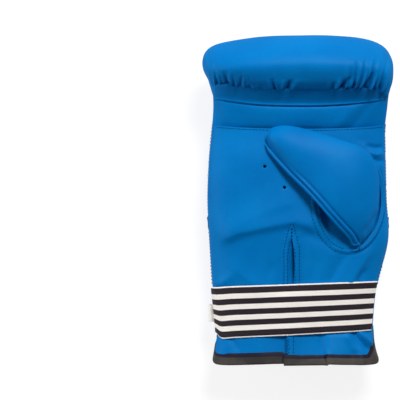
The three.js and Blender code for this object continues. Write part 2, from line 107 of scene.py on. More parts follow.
SECTIONS = table("y left right back side palm", [
    (0, -68, 68, 6.5, 24, 43),
    (11, -65.6, 63.4, 6.3, 23.5, 42),
    (26, -64, 61.4, 6, 23, 41),
    (62, -67.5, 64.5, 5, 24, 44),
    (100, -70, 73.5, 3.6, 26, 47.5),
    (132, -71.5, 72, 2.4, 28, 49),
    (165, -70.3, 71, 2, 31, 49),
    (190, -68, 70.5, 2, 34, 47.5),
    (206, -67, 72, 2, 37, 49.5),
    (218, -67.6, 73.3, 2, 39, 57.5),
    (225, -69.6, 75.3, 3.3, 39, 65),
    (236, -75.4, 76.7, 7, 39, 75),
    (248, -77.4, 76.7, 19, 39, 60),
    (263, -77, 76.5, 38, 39, 38),
])
BACK_SEAM = 118  # where the quilted hood is sewn to the back of the cuff
HOOD = table("y z hand_y hand_z", [
    (BACK_SEAM, 2.9, BACK_SEAM, 6.5),
    (132, 0.4, 132, 8.5),
    (150, -1.2, 150, 12),
    (170, -1.6, 170, 16),
    (190, -1.6, 190, 20),
    (208, -0.9, 207, 25),
    (224, 2, 216, 29.5),
    (240, 9, 221, 33),
    (254, 21, 225, 37),
    (263, 39, 227, 41),
    (260, 55, 226.5, 45),
    (250, 68.5, 225, 48),
    (238, 75, 222.5, 50.5),
    (226, 69.5, 220, 52.3),
    (217.5, 60, 218.2, 53.5),
])
SQUARENESS = 3  # power of the superellipse that a cross-section follows
TIP_SQUARENESS = dict(thumb_side=4.6, far_side=5)
POLE = 216  # where the side seams end
HAND_POLE = 214  # and where they end on the hand's side of the hood
SIDE_PADDING = 8
LEATHER = 2.4
GAP = 0.3  # between two pieces that are sewn together
CURVE_SAMPLES = 1500

# %% [markdown]
# A curve through the rows of a table is a cubic between each two rows, with the slope at a row taken
# from its neighbours. It is sampled once, and then read off between the samples.

# %% Read smooth curves from the tables
def column(rows, station, name):
    at = np.array([row[station] for row in rows], float)
    value = np.array([row[name] for row in rows], float)
    last = len(rows) - 1
    before = np.maximum(np.arange(last + 1) - 1, 0)
    after = np.minimum(np.arange(last + 1) + 1, last)
    slope = (value[after] - value[before]) / (at[after] - at[before])
    stops = np.linspace(at[0], at[-1], CURVE_SAMPLES)
    i = np.clip(np.searchsorted(at, stops, "right") - 1, 0, last - 1)
    span = at[i + 1] - at[i]
    t = (stops - at[i]) / span
    curve = value[i] * (2 * t**3 - 3 * t**2 + 1) + value[i + 1] * (3 * t**2 - 2 * t**3)
    curve += span * (slope[i] * (t**3 - 2 * t**2 + t) + slope[i + 1] * (t**3 - t**2))
    return lambda where: float(np.interp(where, stops, curve))


def columns(rows, station):
    """All the other columns of a table as curves, by name."""
    return {name: column(rows, station, name) for name in rows[0] if name != station}


left_at, right_at, back_at, side_at, palm_at = columns(SECTIONS, "y").values()
print("half way up, the palm is", round(palm_at(BACK_SEAM)), "mm high")

# %% [markdown]
# A cross-section is a superellipse, round at the sides and flat over the hand. Only a few shapes are
# needed for all the folds and seams: a bell, a ramp, a puffed cushion, and columns that crowd towards
# the side seams, where a section turns fastest.

# %% Shapes that everything else is made of
def middle_at(y):
    return (right_at(y) + left_at(y)) / 2


def half_width_at(y):
    return (right_at(y) - left_at(y)) / 2


def rise(share, power=SQUARENESS):
    return max(0.0, 1 - abs(share) ** power) ** (1 / power)


def tip_rise(share):
    return rise(share, TIP_SQUARENESS["thumb_side" if share > 0 else "far_side"])


def resample(points, spacing):
    lengths = [0.0]
    for a, b in zip(points, points[1:]):
        lengths.append(lengths[-1] + (b - a).length)
    count = max(2, round(lengths[-1] / spacing))
    stops = (np.arange(count) + 0.5) / count * lengths[-1]
    coordinates = [np.interp(stops, lengths, [p[axis] for p in points]) for axis in range(3)]
    return [Vector(c) for c in zip(*coordinates)]


def bell(distance, width):
    return exp(-((distance / width) ** 2))


def ramp(value, start, end):
    t = min(1.0, max(0.0, (value - start) / (end - start)))
    return t * t * (3 - 2 * t)


def mix(a, b, t):
    return a + (b - a) * t


def crowded(share, power):
    return copysign(1 - (1 - abs(share)) ** power, share)


def seam_fade(share, speed=2):
    """Relief runs out towards the side seams, where two skins meet."""
    return min(1.0, speed * rise(share))


def puff(t, power):
    """A cushion's height at t from 0 to 1: none at both ends, full in the middle."""
    return max(0.0, sin(pi * t)) ** power

# %% [markdown]
# Lengths are worked out in millimetres. `place` turns a point into metres in the frame of the solids,
# whose lowest Y is the hem.

# %% Points on the palm side and on the back
MM = 0.001
HEM = cad_low.y
print("hem at Y", round(HEM / MM, 1), "mm")


def place(point):
    return Vector((point[0] * MM, HEM + point[1] * MM, point[2] * MM))


def palm_point(share, y, depth=0.0):
    x = middle_at(y) + (half_width_at(y) - depth) * share
    side = side_at(y) + GAP / 2
    return Vector((x, y, side + (palm_at(y) - depth - side) * rise(share)))


def back_point(share, y, depth=0.0):
    x = middle_at(y) + (half_width_at(y) - depth) * share
    side = side_at(y) - GAP / 2
    return Vector((x, y, side - (side - back_at(y) - depth) * rise(share)))


def share_at(x, y):
    return max(-1.0, min(1.0, (x - middle_at(y)) / half_width_at(y)))


def plain_height(x, y):
    """The height of the palm's surface without its relief."""
    return palm_point(share_at(x, y), y).z

# %% [markdown]
# ## Shader maths
# Node trees are easier to read as formulas. This class wraps a socket, so that `1 - mask * 0.5` adds
# the Math nodes that it needs. Any other node comes from `node`, which sets its settings first and
# then its inputs.

# %% A socket that works in formulas
def node(tree, kind, settings=None, inputs=None, output=0):
    made = tree.nodes.new(kind)
    for name, value in (settings or {}).items():
        setattr(made, name, value)
    for key, value in (inputs or {}).items():
        if isinstance(value, Shade):
            tree.links.new(value.socket, made.inputs[key])
        else:
            made.inputs[key].default_value = value
    return Shade(tree, made.outputs[output])


class Shade:
    def __init__(self, tree, socket):
        self.tree = tree
        self.socket = socket

    def math(self, operation, *terms):
        return node(self.tree, "ShaderNodeMath", {"operation": operation}, dict(enumerate(terms)))

    def __add__(self, other):
        return self.math("ADD", self, other)

    def __sub__(self, other):
        return self.math("SUBTRACT", self, other)

    def __rsub__(self, other):
        return self.math("SUBTRACT", other, self)

    def __mul__(self, other):
        return self.math("MULTIPLY", self, other)

    __radd__ = __add__
    __rmul__ = __mul__

    def sine(self):
        return self.math("SINE", self)

    def size(self):
        return self.math("ABSOLUTE", self)

    def step(self, start, end):
        settings = {"interpolation_type": "SMOOTHSTEP"}
        inputs = {"Value": self, "From Min": start, "From Max": end}
        return node(self.tree, "ShaderNodeMapRange", settings, inputs)

# %% [markdown]
# A few kinds of node serve every finish: a blend of two colours, soft noise, a bump, and a vector taken
# apart. `new_finish` makes the material with its one shader, whose constants are set directly.

# %% Nodes that the finishes share
def blend_colours(tree, share, first, second):
    settings = {"data_type": "RGBA"}
    return node(tree, "ShaderNodeMix", settings, {0: share, 6: first, 7: second}, output=2)


def clouds_at(tree, where, scale, detail):
    inputs = {"Vector": where, "Scale": scale, "Detail": detail}
    return node(tree, "ShaderNodeTexNoise", None, inputs)


def split(tree, vector):
    """The X, Y and Z of a vector."""
    parts = node(tree, "ShaderNodeSeparateXYZ", None, {0: vector}).socket.node
    return [Shade(tree, socket) for socket in parts.outputs]


def bumps(tree, height, distance, strength, onto=None):
    inputs = {"Height": height, "Distance": distance, "Strength": strength}
    if onto is not None:
        inputs["Normal"] = onto
    return node(tree, "ShaderNodeBump", None, inputs)


def new_finish(name, **constants):
    """A material and its shader. Constants are set on the shader's own sockets."""
    finish = bpy.data.materials.new(name)
    finish.use_nodes = True
    shader = finish.node_tree.nodes["Principled BSDF"]
    for socket, value in constants.items():
        shader.inputs[socket.replace("_", " ")].default_value = value
    print("finish", name)
    return finish, finish.node_tree, shader


def plug(shader, socket, value):
    value.tree.links.new(value.socket, shader.inputs[socket])

# %% [markdown]
# ## Blue leather
# The mitt is cut from synthetic leather: a smooth coat of plastic with a fine pressed grain. The
# grain is a field of small cells with soft grooves between them. Wide, faint clouds change the colour
# and the gloss, because no coat is quite even. The shine is that of a thin, rough coat alone, which
# stays as soft as in the photo.

# %% Make the leather
def colour(red, green, blue):
    """An sRGB colour from 0 to 255, as the linear colour that a shader wants."""
    channels = [c / 255 for c in (red, green, blue)]
    linear = [c / 12.92 if c <= 0.04045 else ((c + 0.055) / 1.055) ** 2.4 for c in channels]
    return (*linear, 1.0)


GRAIN_CELLS = 950  # cells in a metre
GROOVE_SHARE = 0.16  # how much of a cell its soft groove takes
SOFT_SCALE = 120
CLOUD_SCALE = 24
GRAIN_BUMP = dict(distance=0.00012, strength=0.5)
SOFT_BUMP = dict(distance=0.0006, strength=0.35)


def leather_finish(name, light, deep, gloss):
    constants = {"Specular_IOR_Level": 0.0, "Coat_Weight": 0.1, "Coat_Roughness": 0.48}
    finish, tree, shader = new_finish(name, **constants)
    where = node(tree, "ShaderNodeTexCoord", output="Object")
    cells = node(tree, "ShaderNodeTexVoronoi", {"feature": "DISTANCE_TO_EDGE"},
                 {"Vector": where, "Scale": GRAIN_CELLS})
    warp = clouds_at(tree, where, GRAIN_CELLS / 3, 2)
    clouds = clouds_at(tree, where, CLOUD_SCALE, 4)
    soft = clouds_at(tree, where, SOFT_SCALE, 3)
    grain = cells.step(0.0, GROOVE_SHARE) * (0.55 + 0.45 * warp)
    plug(shader, "Base Color", blend_colours(tree, clouds.step(0.35, 0.68), deep, light))
    plug(shader, "Roughness", gloss + 0.10 * clouds - 0.05 * grain)
    coarse = bumps(tree, soft, **SOFT_BUMP)
    plug(shader, "Normal", bumps(tree, grain, **GRAIN_BUMP, onto=coarse))
    return finish


leather = leather_finish("blue_leather", colour(1, 118, 190), colour(0, 111, 183), 0.38)
lining = leather_finish("dark_inside", colour(16, 44, 92), colour(10, 32, 74), 0.7)
thread = leather_finish("blue_thread", colour(6, 38, 92), colour(4, 30, 78), 0.6)

# %% [markdown]
# ## Making a piece
# Every panel starts as a flat grid, and each point of the grid is then carried to its place on the
# mitt. `u` runs across and `v` along. Relief such as folds is pushed out along the surface's own
# normals afterwards, so it stands square to the leather wherever the panel bends.

# %% Grids and relief
def flat_grid(across, along):
    bm = bmesh.new()
    bm.loops.layers.uv.new("UVMap")
    bmesh.ops.create_grid(bm, x_segments=across, y_segments=along, size=0.5, calc_uvs=True)
    bmesh.ops.translate(bm, verts=bm.verts, vec=(0.5, 0.5, 0))
    return bm


def carry(bm, surface):
    """Moves each point of a flat grid to its place. Returns where each point was on the grid."""
    flat = {v: (min(1.0, max(0.0, v.co.x)), min(1.0, max(0.0, v.co.y))) for v in bm.verts}
    for v, (across, along) in flat.items():
        v.co = place(surface(across, along))
    bm.normal_update()
    return flat


def face_outwards(bm, towards):
    """Turns the faces of an open panel so that they look towards a direction."""
    facing = sum(f.normal.dot(Vector(towards)) * f.calc_area() for f in bm.faces)
    if facing < 0:
        bmesh.ops.reverse_faces(bm, faces=bm.faces)
    bm.normal_update()


def push_out(bm, flat, relief):
    """Pushes each point along its normal by a relief in millimetres."""
    moves = {v: v.normal * relief(*flat[v], v.co) * MM for v in bm.verts}
    for v, move in moves.items():
        v.co += move
    bm.normal_update()


def in_mm(point):
    """The X and Y of a point of the frame, as millimetres from the mitt's middle and its hem."""
    return point.x / MM, (point.y - HEM) / MM


def join(bm, other):
    """Moves the faces of one mesh being edited into another."""
    spare = bpy.data.meshes.new("spare")
    other.to_mesh(spare)
    other.free()
    bm.from_mesh(spare)
    bpy.data.meshes.remove(spare)


def close_up(bm, merge):
    """Merges points that fall together, closes what is still open, and turns the faces outwards."""
    bmesh.ops.remove_doubles(bm, verts=bm.verts, dist=merge)
    bmesh.ops.holes_fill(bm, edges=[edge for edge in bm.edges if edge.is_boundary])
    bmesh.ops.recalc_face_normals(bm, faces=bm.faces)

# %% [markdown]
# A finished piece is smooth inside its cut edges and crisp along them, as a cut edge of leather is. It
# rides on the one body and takes the place of its solids. `thicken` then gives a single skin its wall.

# %% Finished objects
def piece(bm, name, finishes, slot, *nodes):
    for face in bm.faces:
        face.smooth = True
    for edge in bm.edges:
        edge.smooth = not edge.is_boundary
    mesh = bpy.data.meshes.new(name)
    bm.to_mesh(mesh)
    bm.free()
    made = bpy.data.objects.new(name, mesh)
    bpy.context.collection.objects.link(made)
    for finish in finishes:
        mesh.materials.append(finish)
    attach(made, "root")
    if nodes:
        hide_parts(*nodes)
    print(name, len(mesh.polygons), "faces")
    return made


def thicken(made, thickness, offset=-1):
    wall = made.modifiers.new("wall", "SOLIDIFY")
    wall.thickness = thickness * MM
    wall.offset = offset
    wall.use_even_offset = False
    if len(made.data.materials) > 1:
        wall.material_offset = 1
    return made

# %% [markdown]
# ## Stitches
# A machine stitch is a short bar of thread that dips into the leather at both ends. Each is a small
# stretched ball, laid along the seam and pressed into the surface under it. A seam is a list of
# points; the stitches are spaced evenly along it.

# %% Lay stitches along a seam
STITCH_PITCH = 2.7
THREAD_WIDTH = 0.62
THREAD_HEIGHT = THREAD_WIDTH / 1.2
STITCH_SHARE = 0.74  # the share of the pitch that the thread covers
STITCH_SEAT = 0.12  # how far a stitch stands proud


def skin_of(made):
    """The surface of a piece with its modifiers, to lay things on."""
    return BVHTree.FromObject(made, bpy.context.evaluated_depsgraph_get())


def stitch_row(bm, skin, seam, above=STITCH_SEAT):
    spots = resample([place(p) for p in seam], STITCH_PITCH * MM)
    half = Vector((STITCH_PITCH * STITCH_SHARE, THREAD_WIDTH, THREAD_HEIGHT)) * MM / 2
    for i, spot in enumerate(spots):
        ahead = spots[min(i + 1, len(spots) - 1)] - spots[max(i - 1, 0)]
        hit, normal, _, _ = skin.find_nearest(spot)
        along = (ahead - normal * ahead.dot(normal)).normalized()
        turn = Matrix((along, normal.cross(along), normal)).transposed().to_4x4()
        seat = Matrix.Translation(hit + normal * above * MM) @ turn @ Matrix.Diagonal((*half, 1))
        bmesh.ops.create_icosphere(bm, subdivisions=1, radius=1, matrix=seat)

# %% [markdown]
# ## The padded hood
# The back of the hand and the fingertips are under one thick pad. Its leather is stitched down to the
# foam in straight lines, which leaves puffed channels, and at the palm it is gathered into a seam, so
# that it rolls over. The hood is two skins, the leather outside and the hand's side, joined round
# their edges.

# %% The hood's side view as two curves
TIP_REACH = 47  # millimetres from the ends of the side seams to the tips
QUILT_LINES = [-0.765, -0.48, -0.184, 0.184, 0.546, 0.84]
QUILT_DEPTH = 3.2
QUILT_FADE = dict(start=17, end=40)  # the channels run out over the fingertips, at these heights
CHANNEL_COLUMNS = [28, 34, 22, 22, 40, 46, 30]  # columns of the grid on each channel
HOOD_ROWS = 196
ROLL_ROWS = 0.56  # the share of the rows that lie on the roll
ROLL_SHARE = 0.36  # the share of the length that the roll takes up
ROLL_TURN = 50  # above this height the leather has turned back over the palm
TIP_DROPS = table("at depth width", [(-0.7, 2.6, 0.26), (0.75, 0.9, 0.2)])

chord = [0.0]
for before, after in zip(HOOD, HOOD[1:]):
    chord.append(chord[-1] + hypot(after["y"] - before["y"], after["z"] - before["z"]))
for row, length in zip(HOOD, chord):
    row["along"] = length
HOOD_LENGTH = chord[-1]
hood_y, hood_z, hand_y, hand_z = columns(HOOD, "along").values()
print("hood is", round(HOOD_LENGTH), "mm from seam to seam")


def seam_lift(share):
    """The roll's seam climbs towards the far side of the hand and dips at the thumb's corner."""
    return 4.2 * ramp(-share, 0.35, 1.0) - 5.5 * ramp(share, 0.84, 1.0)


def hood_point(y, z, share, pole, depth):
    past_pole = max(0.0, y - pole)
    past_pole += seam_lift(share) * (1 - ramp(y, 219, 240)) * (z > ROLL_TURN)
    drop = sum(d["depth"] * bell(share - d["at"], d["width"]) for d in TIP_DROPS)
    seat_y = min(y, pole) + past_pole * (tip_rise(share) - drop / TIP_REACH)
    side = side_at(min(y, pole))
    x = middle_at(seat_y) + (half_width_at(seat_y) - depth) * share
    return Vector((x, seat_y, side + (z - side) * rise(share)))

# %% [markdown]
# The columns of the grid fall on the stitch lines, so that each line is a crisp valley. `channel_at`
# gives, for a column, its share of the half-width and how far it is across its channel.

# %% Channels of the quilting
LAST_CHANNEL = len(CHANNEL_COLUMNS) - 1


def channel_at(u):
    stops = [-1, *QUILT_LINES, 1]
    left_over = u * sum(CHANNEL_COLUMNS)
    i = 0
    while i < LAST_CHANNEL and left_over >= CHANNEL_COLUMNS[i] - 1e-4:
        left_over -= CHANNEL_COLUMNS[i]
        i += 1
    t = min(1.0, max(0.0, left_over / CHANNEL_COLUMNS[i]))
    eased = t
    if i == 0:
        eased = t * t
    if i == LAST_CHANNEL:
        eased = 1 - (1 - t) ** 2
    return mix(stops[i], stops[i + 1], eased), t, i


def hood_along(v):
    """Millimetres from the wrist's seam for a row of the grid. The rows are closer on the roll."""
    if v < 1 - ROLL_ROWS:
        return HOOD_LENGTH * (1 - ROLL_SHARE) * v / (1 - ROLL_ROWS)
    return HOOD_LENGTH * (1 - ROLL_SHARE * (1 - v) / ROLL_ROWS)

# %% [markdown]
# Where the leather of the roll is gathered into its seam it forms pleats. Each is a sharp groove with
# a soft shoulder on either side. The table gives where a pleat starts at the seam, where it fades
# out, how deep and wide it is, and how far it reaches up the roll.

# %% Pleats of the gathered seam
ROLL_SEAM = 217.5  # where the roll disappears behind the band, seen from above
PLEATS = table("x top depth width reach", [
    (-66.4, -71.5, 1.6, 0.9, 26),
    (-62.4, -68.4, 2.6, 1.2, 22),
    (-57.8, -65, 2.4, 1.1, 20),
    (-54.4, -59, 3.8, 1.5, 13),
    (-49.6, -52.8, 1.3, 0.9, 11),
    (-45.8, -45.2, 2.2, 0.9, 10),
    (-38.4, -38.6, 2.4, 1.4, 4),
    (-28, -29, 0.6, 1.4, 6),
    (-16.8, -21.4, 2.6, 1.1, 10),
    (-9.6, -6.6, 4.2, 1.8, 9),
    (3, 4, 0.5, 1.5, 6),
    (26.4, 28.6, 2.0, 1.3, 8),
    (31.2, 38.4, 5.2, 1.9, 11),
    (38.0, 42.4, 2.8, 1.3, 22),
    (41.4, 46.8, 3.3, 1.3, 25),
    (45.0, 52.2, 2.5, 1.2, 25),
    (48.4, 58.0, 5.2, 1.8, 15),
    (52.6, 62.4, 3.5, 1.3, 29),
    (57.0, 67.2, 3.5, 1.3, 32),
    (61.6, 71.8, 4.6, 1.5, 36),
    (66.6, 74.4, 2.8, 1.2, 28),
    (70.2, 75.6, 1.5, 0.9, 16),
])
PLEAT_LIMIT = 5.6  # no groove cuts deeper than this


def pleated(x, above_seam):
    total = 0.0
    for p in PLEATS:
        up = above_seam / p["reach"]
        if up > 1:
            continue
        line = mix(p["x"], p["top"], max(0.0, up) ** 0.62)
        width = p["width"] * (1 + 0.5 * max(0.0, up))
        off = abs(x - line)
        fade = (1 - up) ** 0.85 * ramp(above_seam, -1.5, 1.5)
        groove = exp(-((off / width) ** 1.25))
        shoulder = 0.5 * bell(off - 1.9 * width, width) * ramp(above_seam, 0, 4)
        total += p["depth"] * fade * (shoulder - groove)
    return max(total, -PLEAT_LIMIT)


def gathers(x, above_seam):
    """Fine folds between the pleats, strongest where the roll turns its corners."""
    corner = ramp(abs(x - 3), 30, 52)
    wander = 2.2 * noise.noise(Vector((x / 7, above_seam / 20, 3.1)))
    phase = x * 1.9 - 0.05 * x * above_seam / 10 + wander
    fade = exp(-max(0.0, above_seam) / 13) * ramp(above_seam, -2, 2)
    return mix(0.3, 0.5, ramp(x, 30, 50)) * corner * sin(phase) * fade

# %% [markdown]
# The relief of the hood adds up what pulls the leather in or lets it swell: the channels, small
# puckers where thread pulls on leather, the pleats, and slow dents over the foam.

# %% Relief of the hood
PUCKER = dict(height=0.28, turn=0.93, reach=3)
SEAM_DIP = dict(wrist=0.8, roll=1.0)  # where the hood's two ends are sewn down


def dents(point, size, height, seed):
    return height * noise.noise(point / (size * MM) + Vector((seed, 1.7 * seed, 0.3)))


def hood_relief(u, v, point):
    share, t, channel = channel_at(u)
    along = hood_along(v)
    y = hood_y(along)
    height = hood_z(along)
    past_tips = ramp(height, QUILT_FADE["start"], QUILT_FADE["end"]) if y > POLE - 20 else 0
    quilting = ramp(along, 0, 7) * (1 - past_tips) * seam_fade(share, 1.4)
    x, plan_y = in_mm(point)
    to_line = min(t, 1 - t) * 22
    on_line = (0 < channel or t > 0.5) * (channel < LAST_CHANNEL or t < 0.5)
    uneven = 3 * noise.noise(Vector((along / 9, channel, 0.5)))
    pucker = PUCKER["height"] * sin(along * PUCKER["turn"] + uneven)
    relief = -QUILT_DEPTH * (1 - puff(t, 0.62)) * quilting
    relief += pucker * exp(-to_line / PUCKER["reach"]) * quilting * on_line
    if height > QUILT_FADE["end"] + 1:
        above_seam = plan_y - ROLL_SEAM - seam_lift(share)
        folds = pleated(x, above_seam) + gathers(x, above_seam)
        relief += folds * seam_fade(share, 1.3)
        relief -= SEAM_DIP["roll"] * bell(HOOD_LENGTH - along, 1.6)
    relief += (dents(point, 24, 0.55, 3) + dents(point, 55, 0.9, 5)) * rise(share)
    return relief - SEAM_DIP["wrist"] * bell(along, 3)

# %% [markdown]
# Both skins are grids with the same columns and rows. Their edges are bridged, which closes the hood,
# and the points that fall together at the ends of the side seams are merged.

# %% Build the hood
def hood_skin_at(y_at, z_at, pole, depth):
    """One skin of the hood: its side view as two curves, its pole, and how far inside it lies."""
    def surface(u, v):
        along = hood_along(v)
        return hood_point(y_at(along), z_at(along), channel_at(u)[0], pole, depth)

    bm = flat_grid(sum(CHANNEL_COLUMNS), HOOD_ROWS)
    return bm, carry(bm, surface)


def build_hood():
    bm, flat = hood_skin_at(hood_y, hood_z, POLE, 0)
    lowest = min(bm.verts, key=lambda v: v.co.z)
    if lowest.normal.z > 0:
        bmesh.ops.reverse_faces(bm, faces=bm.faces)
        bm.normal_update()
    push_out(bm, flat, hood_relief)
    for v in bm.verts:
        v.co.z = max(0.0, v.co.z)
    inner, _ = hood_skin_at(hand_y, hand_z, HAND_POLE, SIDE_PADDING)
    for face in inner.faces:
        face.material_index = 1
    join(bm, inner)
    bmesh.ops.bridge_loops(bm, edges=[edge for edge in bm.edges if edge.is_boundary])
    bmesh.ops.remove_doubles(bm, verts=bm.verts, dist=0.00002)
    bmesh.ops.dissolve_degenerate(bm, edges=bm.edges, dist=0.00001)
    bmesh.ops.recalc_face_normals(bm, faces=bm.faces)
    hood = piece(bm, "hood", [leather, lining], "leather", "knuckle_pad")
    return hood


hood = build_hood()

# %% [markdown]
# ## Palm panel
# The palm is one flat piece of leather over the hand and the cuff. It has soft creases where the
# hand closes, a slit that lets the cuff open, two vents and an oval hole that the thumb is sewn round.
# `CREASES` gives ridges and hollows as lines on the palm, with a height and a half-width.

# %% Creases, slit and waves of the palm
CREASES = table("line height above below", [
    ([(-66, 97), (-47, 106), (-27, 110.4), (-12, 113.3), (-2, 114.7), (9, 111.5), (20, 105)], 2.5, 9, 3.8),
    ([(-60, 84), (-44, 72), (-32, 62), (-22, 50)], 1.2, 8, 4),
    ([(-64, 101), (-46, 114), (-26, 124), (-8, 129), (4, 130)], 1.3, 12, 7),
    ([(1, 108), (18, 100), (34, 92)], -1.3, 4.5, 5),
    ([(46, 93), (36, 84), (28, 70), (23, 54)], -1.5, 3.5, 7),
    ([(64, 98), (55, 86), (44, 66), (37, 50)], 1.8, 3, 8),
    ([(57, 80), (50, 70), (43, 52)], -1.4, 2.5, 3),
    ([(8, 94), (14, 82), (12, 68), (12, 52)], -0.7, 4, 6),
    ([(-18, 84), (-24, 68), (-28, 52)], -0.6, 3, 5),
    ([(53, 176), (61, 173.5), (70, 174)], -1.7, 1.8, 1.6),
    ([(56, 170), (63, 168), (70, 169.5)], 1.5, 1.7, 1.7),
    ([(58, 165), (65, 163), (71, 164)], -1.4, 1.6, 2.2),
    ([(-42, 182), (-50, 150), (-46, 128)], 0.6, 14, 10),
    ([(20, 182), (40, 178), (66, 180)], -0.5, 4, 4),
    ([(-68, 60), (-60, 66), (-48, 75)], 1.1, 4, 4),
])
HEM_CREASES = table("line height above below", [
    ([(43, 30), (50, 20), (60, 9)], -2.4, 1.6, 3),
    ([(47, 31), (56, 19), (62, 14)], 2.1, 2, 2),
    ([(38, 27), (44, 15), (47, 8)], 1.6, 2.5, 2.5),
    ([(20, 30), (23, 16), (25, 8)], -1.3, 2, 3),
    ([(-58, 26), (-50, 18), (-46, 9)], -1.2, 2, 3),
])
SLIT_X = -4.8
SLIT_TOP = 103
SLIT_APEX = 114.5
STRAP_SINK = 1.2  # how far the elastic pulls the leather in
CREASE_END = dict(longest=16, share=0.3)  # each crease fades in and out over this much of its length
FOLD = dict(x=23.6, height=4.2, fade=11)  # where the tape is folded over itself
HEM_WAVES = table("x height width", [
    (-46, -1.0, 7),
    (-28, 0.8, 6),
    (17, -1.2, 6),
    (52, 2.0, 6),
    (44, -0.9, 5),
])


def height_of(crease, x, y):
    """The height that a crease adds at a point. It falls off unevenly on its two sides."""
    points = crease["line"]
    lengths = [dist(a, b) for a, b in zip(points, points[1:])]
    best, width, run = 1e9, 1, 0
    for i, ((x1, y1), (x2, y2)) in enumerate(zip(points, points[1:])):
        dx, dy = x2 - x1, y2 - y1
        t = min(1.0, max(0.0, ((x - x1) * dx + (y - y1) * dy) / (dx * dx + dy * dy)))
        away = hypot(x - x1 - t * dx, y - y1 - t * dy)
        if away < best:
            best = away
            side = dx * (y - y1) - dy * (x - x1)
            width = crease["above"] if side > 0 else crease["below"]
            run = sum(lengths[:i]) + t * lengths[i]
    fade = min(CREASE_END["longest"], CREASE_END["share"] * sum(lengths))
    taper = ramp(min(run, sum(lengths) - run), 0, fade)
    return crease["height"] * taper * exp(-((best / width) ** 1.7))


def hem_relief(x, y):
    fade = 1 - ramp(y, 8, 34)
    total = sum(w["height"] * bell(x - w["x"], w["width"]) for w in HEM_WAVES)
    past = x - FOLD["x"] + 0.12 * y
    total += FOLD["height"] * exp(-max(past, 0) / FOLD["fade"]) / (1 + exp(-past / 0.45))
    total -= 1.0 * bell(past + 2.0, 2.2)
    return total * fade

# %% [markdown]
# The thumb's hole is an oval with a turned-up welt between two rows of stitches. Two rows also run up
# either side of the slit and meet above it.

# %% Relief of the palm
THUMB_HOLE = dict(x=40.6, y=132.4, half_x=26.4, half_y=39.4)
RIM_WELT = dict(rise=0.9, at=2.2)
RIM_WELT_RIGHT = dict(rise=1.9, at=1.8)  # bolder at the mitt's side


def from_hole(x, y):
    """Millimetres outside the rim of the thumb's oval hole."""
    dx = (x - THUMB_HOLE["x"]) / THUMB_HOLE["half_x"]
    dy = (y - THUMB_HOLE["y"]) / THUMB_HOLE["half_y"]
    reach = hypot(dx, dy)
    return (reach - 1) * mix(THUMB_HOLE["half_x"], THUMB_HOLE["half_y"], abs(dy) / max(reach, 0.01))


def beside_slit(y):
    """How far the outer rows of stitches stand from the slit's middle line."""
    return 6.2 * min(1.0, max(0.0, (SLIT_APEX - y) / 22)) ** 0.75


def palm_relief(x, y):
    relief = hem_relief(x, y)
    if 40 < y < 186:
        relief += sum(height_of(crease, x, y) for crease in CREASES) * ramp(y, 52, 68)
    if y < 40:
        relief += sum(height_of(crease, x, y) for crease in HEM_CREASES)
    rim = from_hole(x, y)
    if rim < 8:
        right = ramp(x, 50, 66)
        welt_rise = mix(RIM_WELT["rise"], RIM_WELT_RIGHT["rise"], right)
        relief += welt_rise * bell(rim - mix(RIM_WELT["at"], RIM_WELT_RIGHT["at"], right), 1.3)
        relief -= 0.5 * bell(rim - 4.7, 0.8)
    if 64 < y < SLIT_APEX + 4:
        off = abs(x - SLIT_X)
        edge = beside_slit(y)
        relief += 0.6 * ramp(edge + 0.8 - off, 0, 1.2) - 0.45 * bell(off - edge - 0.6, 0.8)
    relief -= STRAP_SINK * ramp(y, 22, 27) * (1 - ramp(y, 60, 66))
    return relief

# %% [markdown]
# The hem, the seams and the tape are lines across the mitt. At the thumb's corner the cuff flares and
# turns over, so the hem climbs there and the tape looks wider.

# %% Lines of the hem and the seams
BINDING_WIDTH = 9.6  # the tape round the hem
PALM_SEAM = dict(y=189, rise=3)
HEM_RISE = dict(thumb_side=14, far_side=9)
FLAP_EDGE = -11  # where the thumb's side of the cuff overlaps the other


def hem_at_seam(share):
    return HEM_RISE["thumb_side" if share > 0 else "far_side"]


def hem_of_palm(share):
    """The palm's hem is straight, apart from a step at the flap, and climbs only at the very ends."""
    x = half_width_at(0) * share
    slant = mix(-0.2, 1.3, ramp(x, -62, -10)) if x < FLAP_EDGE else 0.0
    past = x - FOLD["x"]
    notch = -0.1 * bell(past - 0.6, 1.5) + 1.2 * ramp(past, 0, 2) * exp(-max(past, 0) / 14)
    return slant + notch + hem_at_seam(share) * (1 - rise(share)) ** 3.6


def hem_of_back(share):
    return hem_at_seam(share) * abs(share) ** 2.2


def tape_width(share):
    return BINDING_WIDTH * (1 + 0.9 * ramp(share, 0.86, 0.99) - 0.12 * ramp(share, -0.15, 0.1))


def seam_at(seam, share):
    return seam["y"] + seam["rise"] * abs(share) ** 2.5


def eased_share(u):
    return crowded(2 * u - 1, 1.6)


print("tape", BINDING_WIDTH, "mm wide, and", round(tape_width(1), 1), "at the thumb's corner")

# %% [markdown]
# The panel is cut along the slit by splitting the edges of one column of the grid, so that column
# has to follow the slit all the way up.

# %% The palm's own grid
PALM_COLUMNS = 132
PALM_ROWS = 166
SLIT_COLUMN = round(PALM_COLUMNS * 0.48)
AT_SLIT = SLIT_COLUMN / PALM_COLUMNS


def palm_share(u, y):
    """The share of the half-width for a column, with one column on the slit."""
    middle = share_at(SLIT_X, min(y, SLIT_APEX))
    if u <= AT_SLIT:
        return mix(middle, -1, crowded(1 - u / AT_SLIT, 1.5))
    return mix(middle, 1, crowded((u - AT_SLIT) / (1 - AT_SLIT), 1.5))


def palm_surface(u, v):
    guess = palm_share(u, 100)
    low = hem_of_palm(guess) + tape_width(guess) - 1.0
    y = mix(low, seam_at(PALM_SEAM, guess) - GAP, v)
    return palm_point(palm_share(u, y), y)

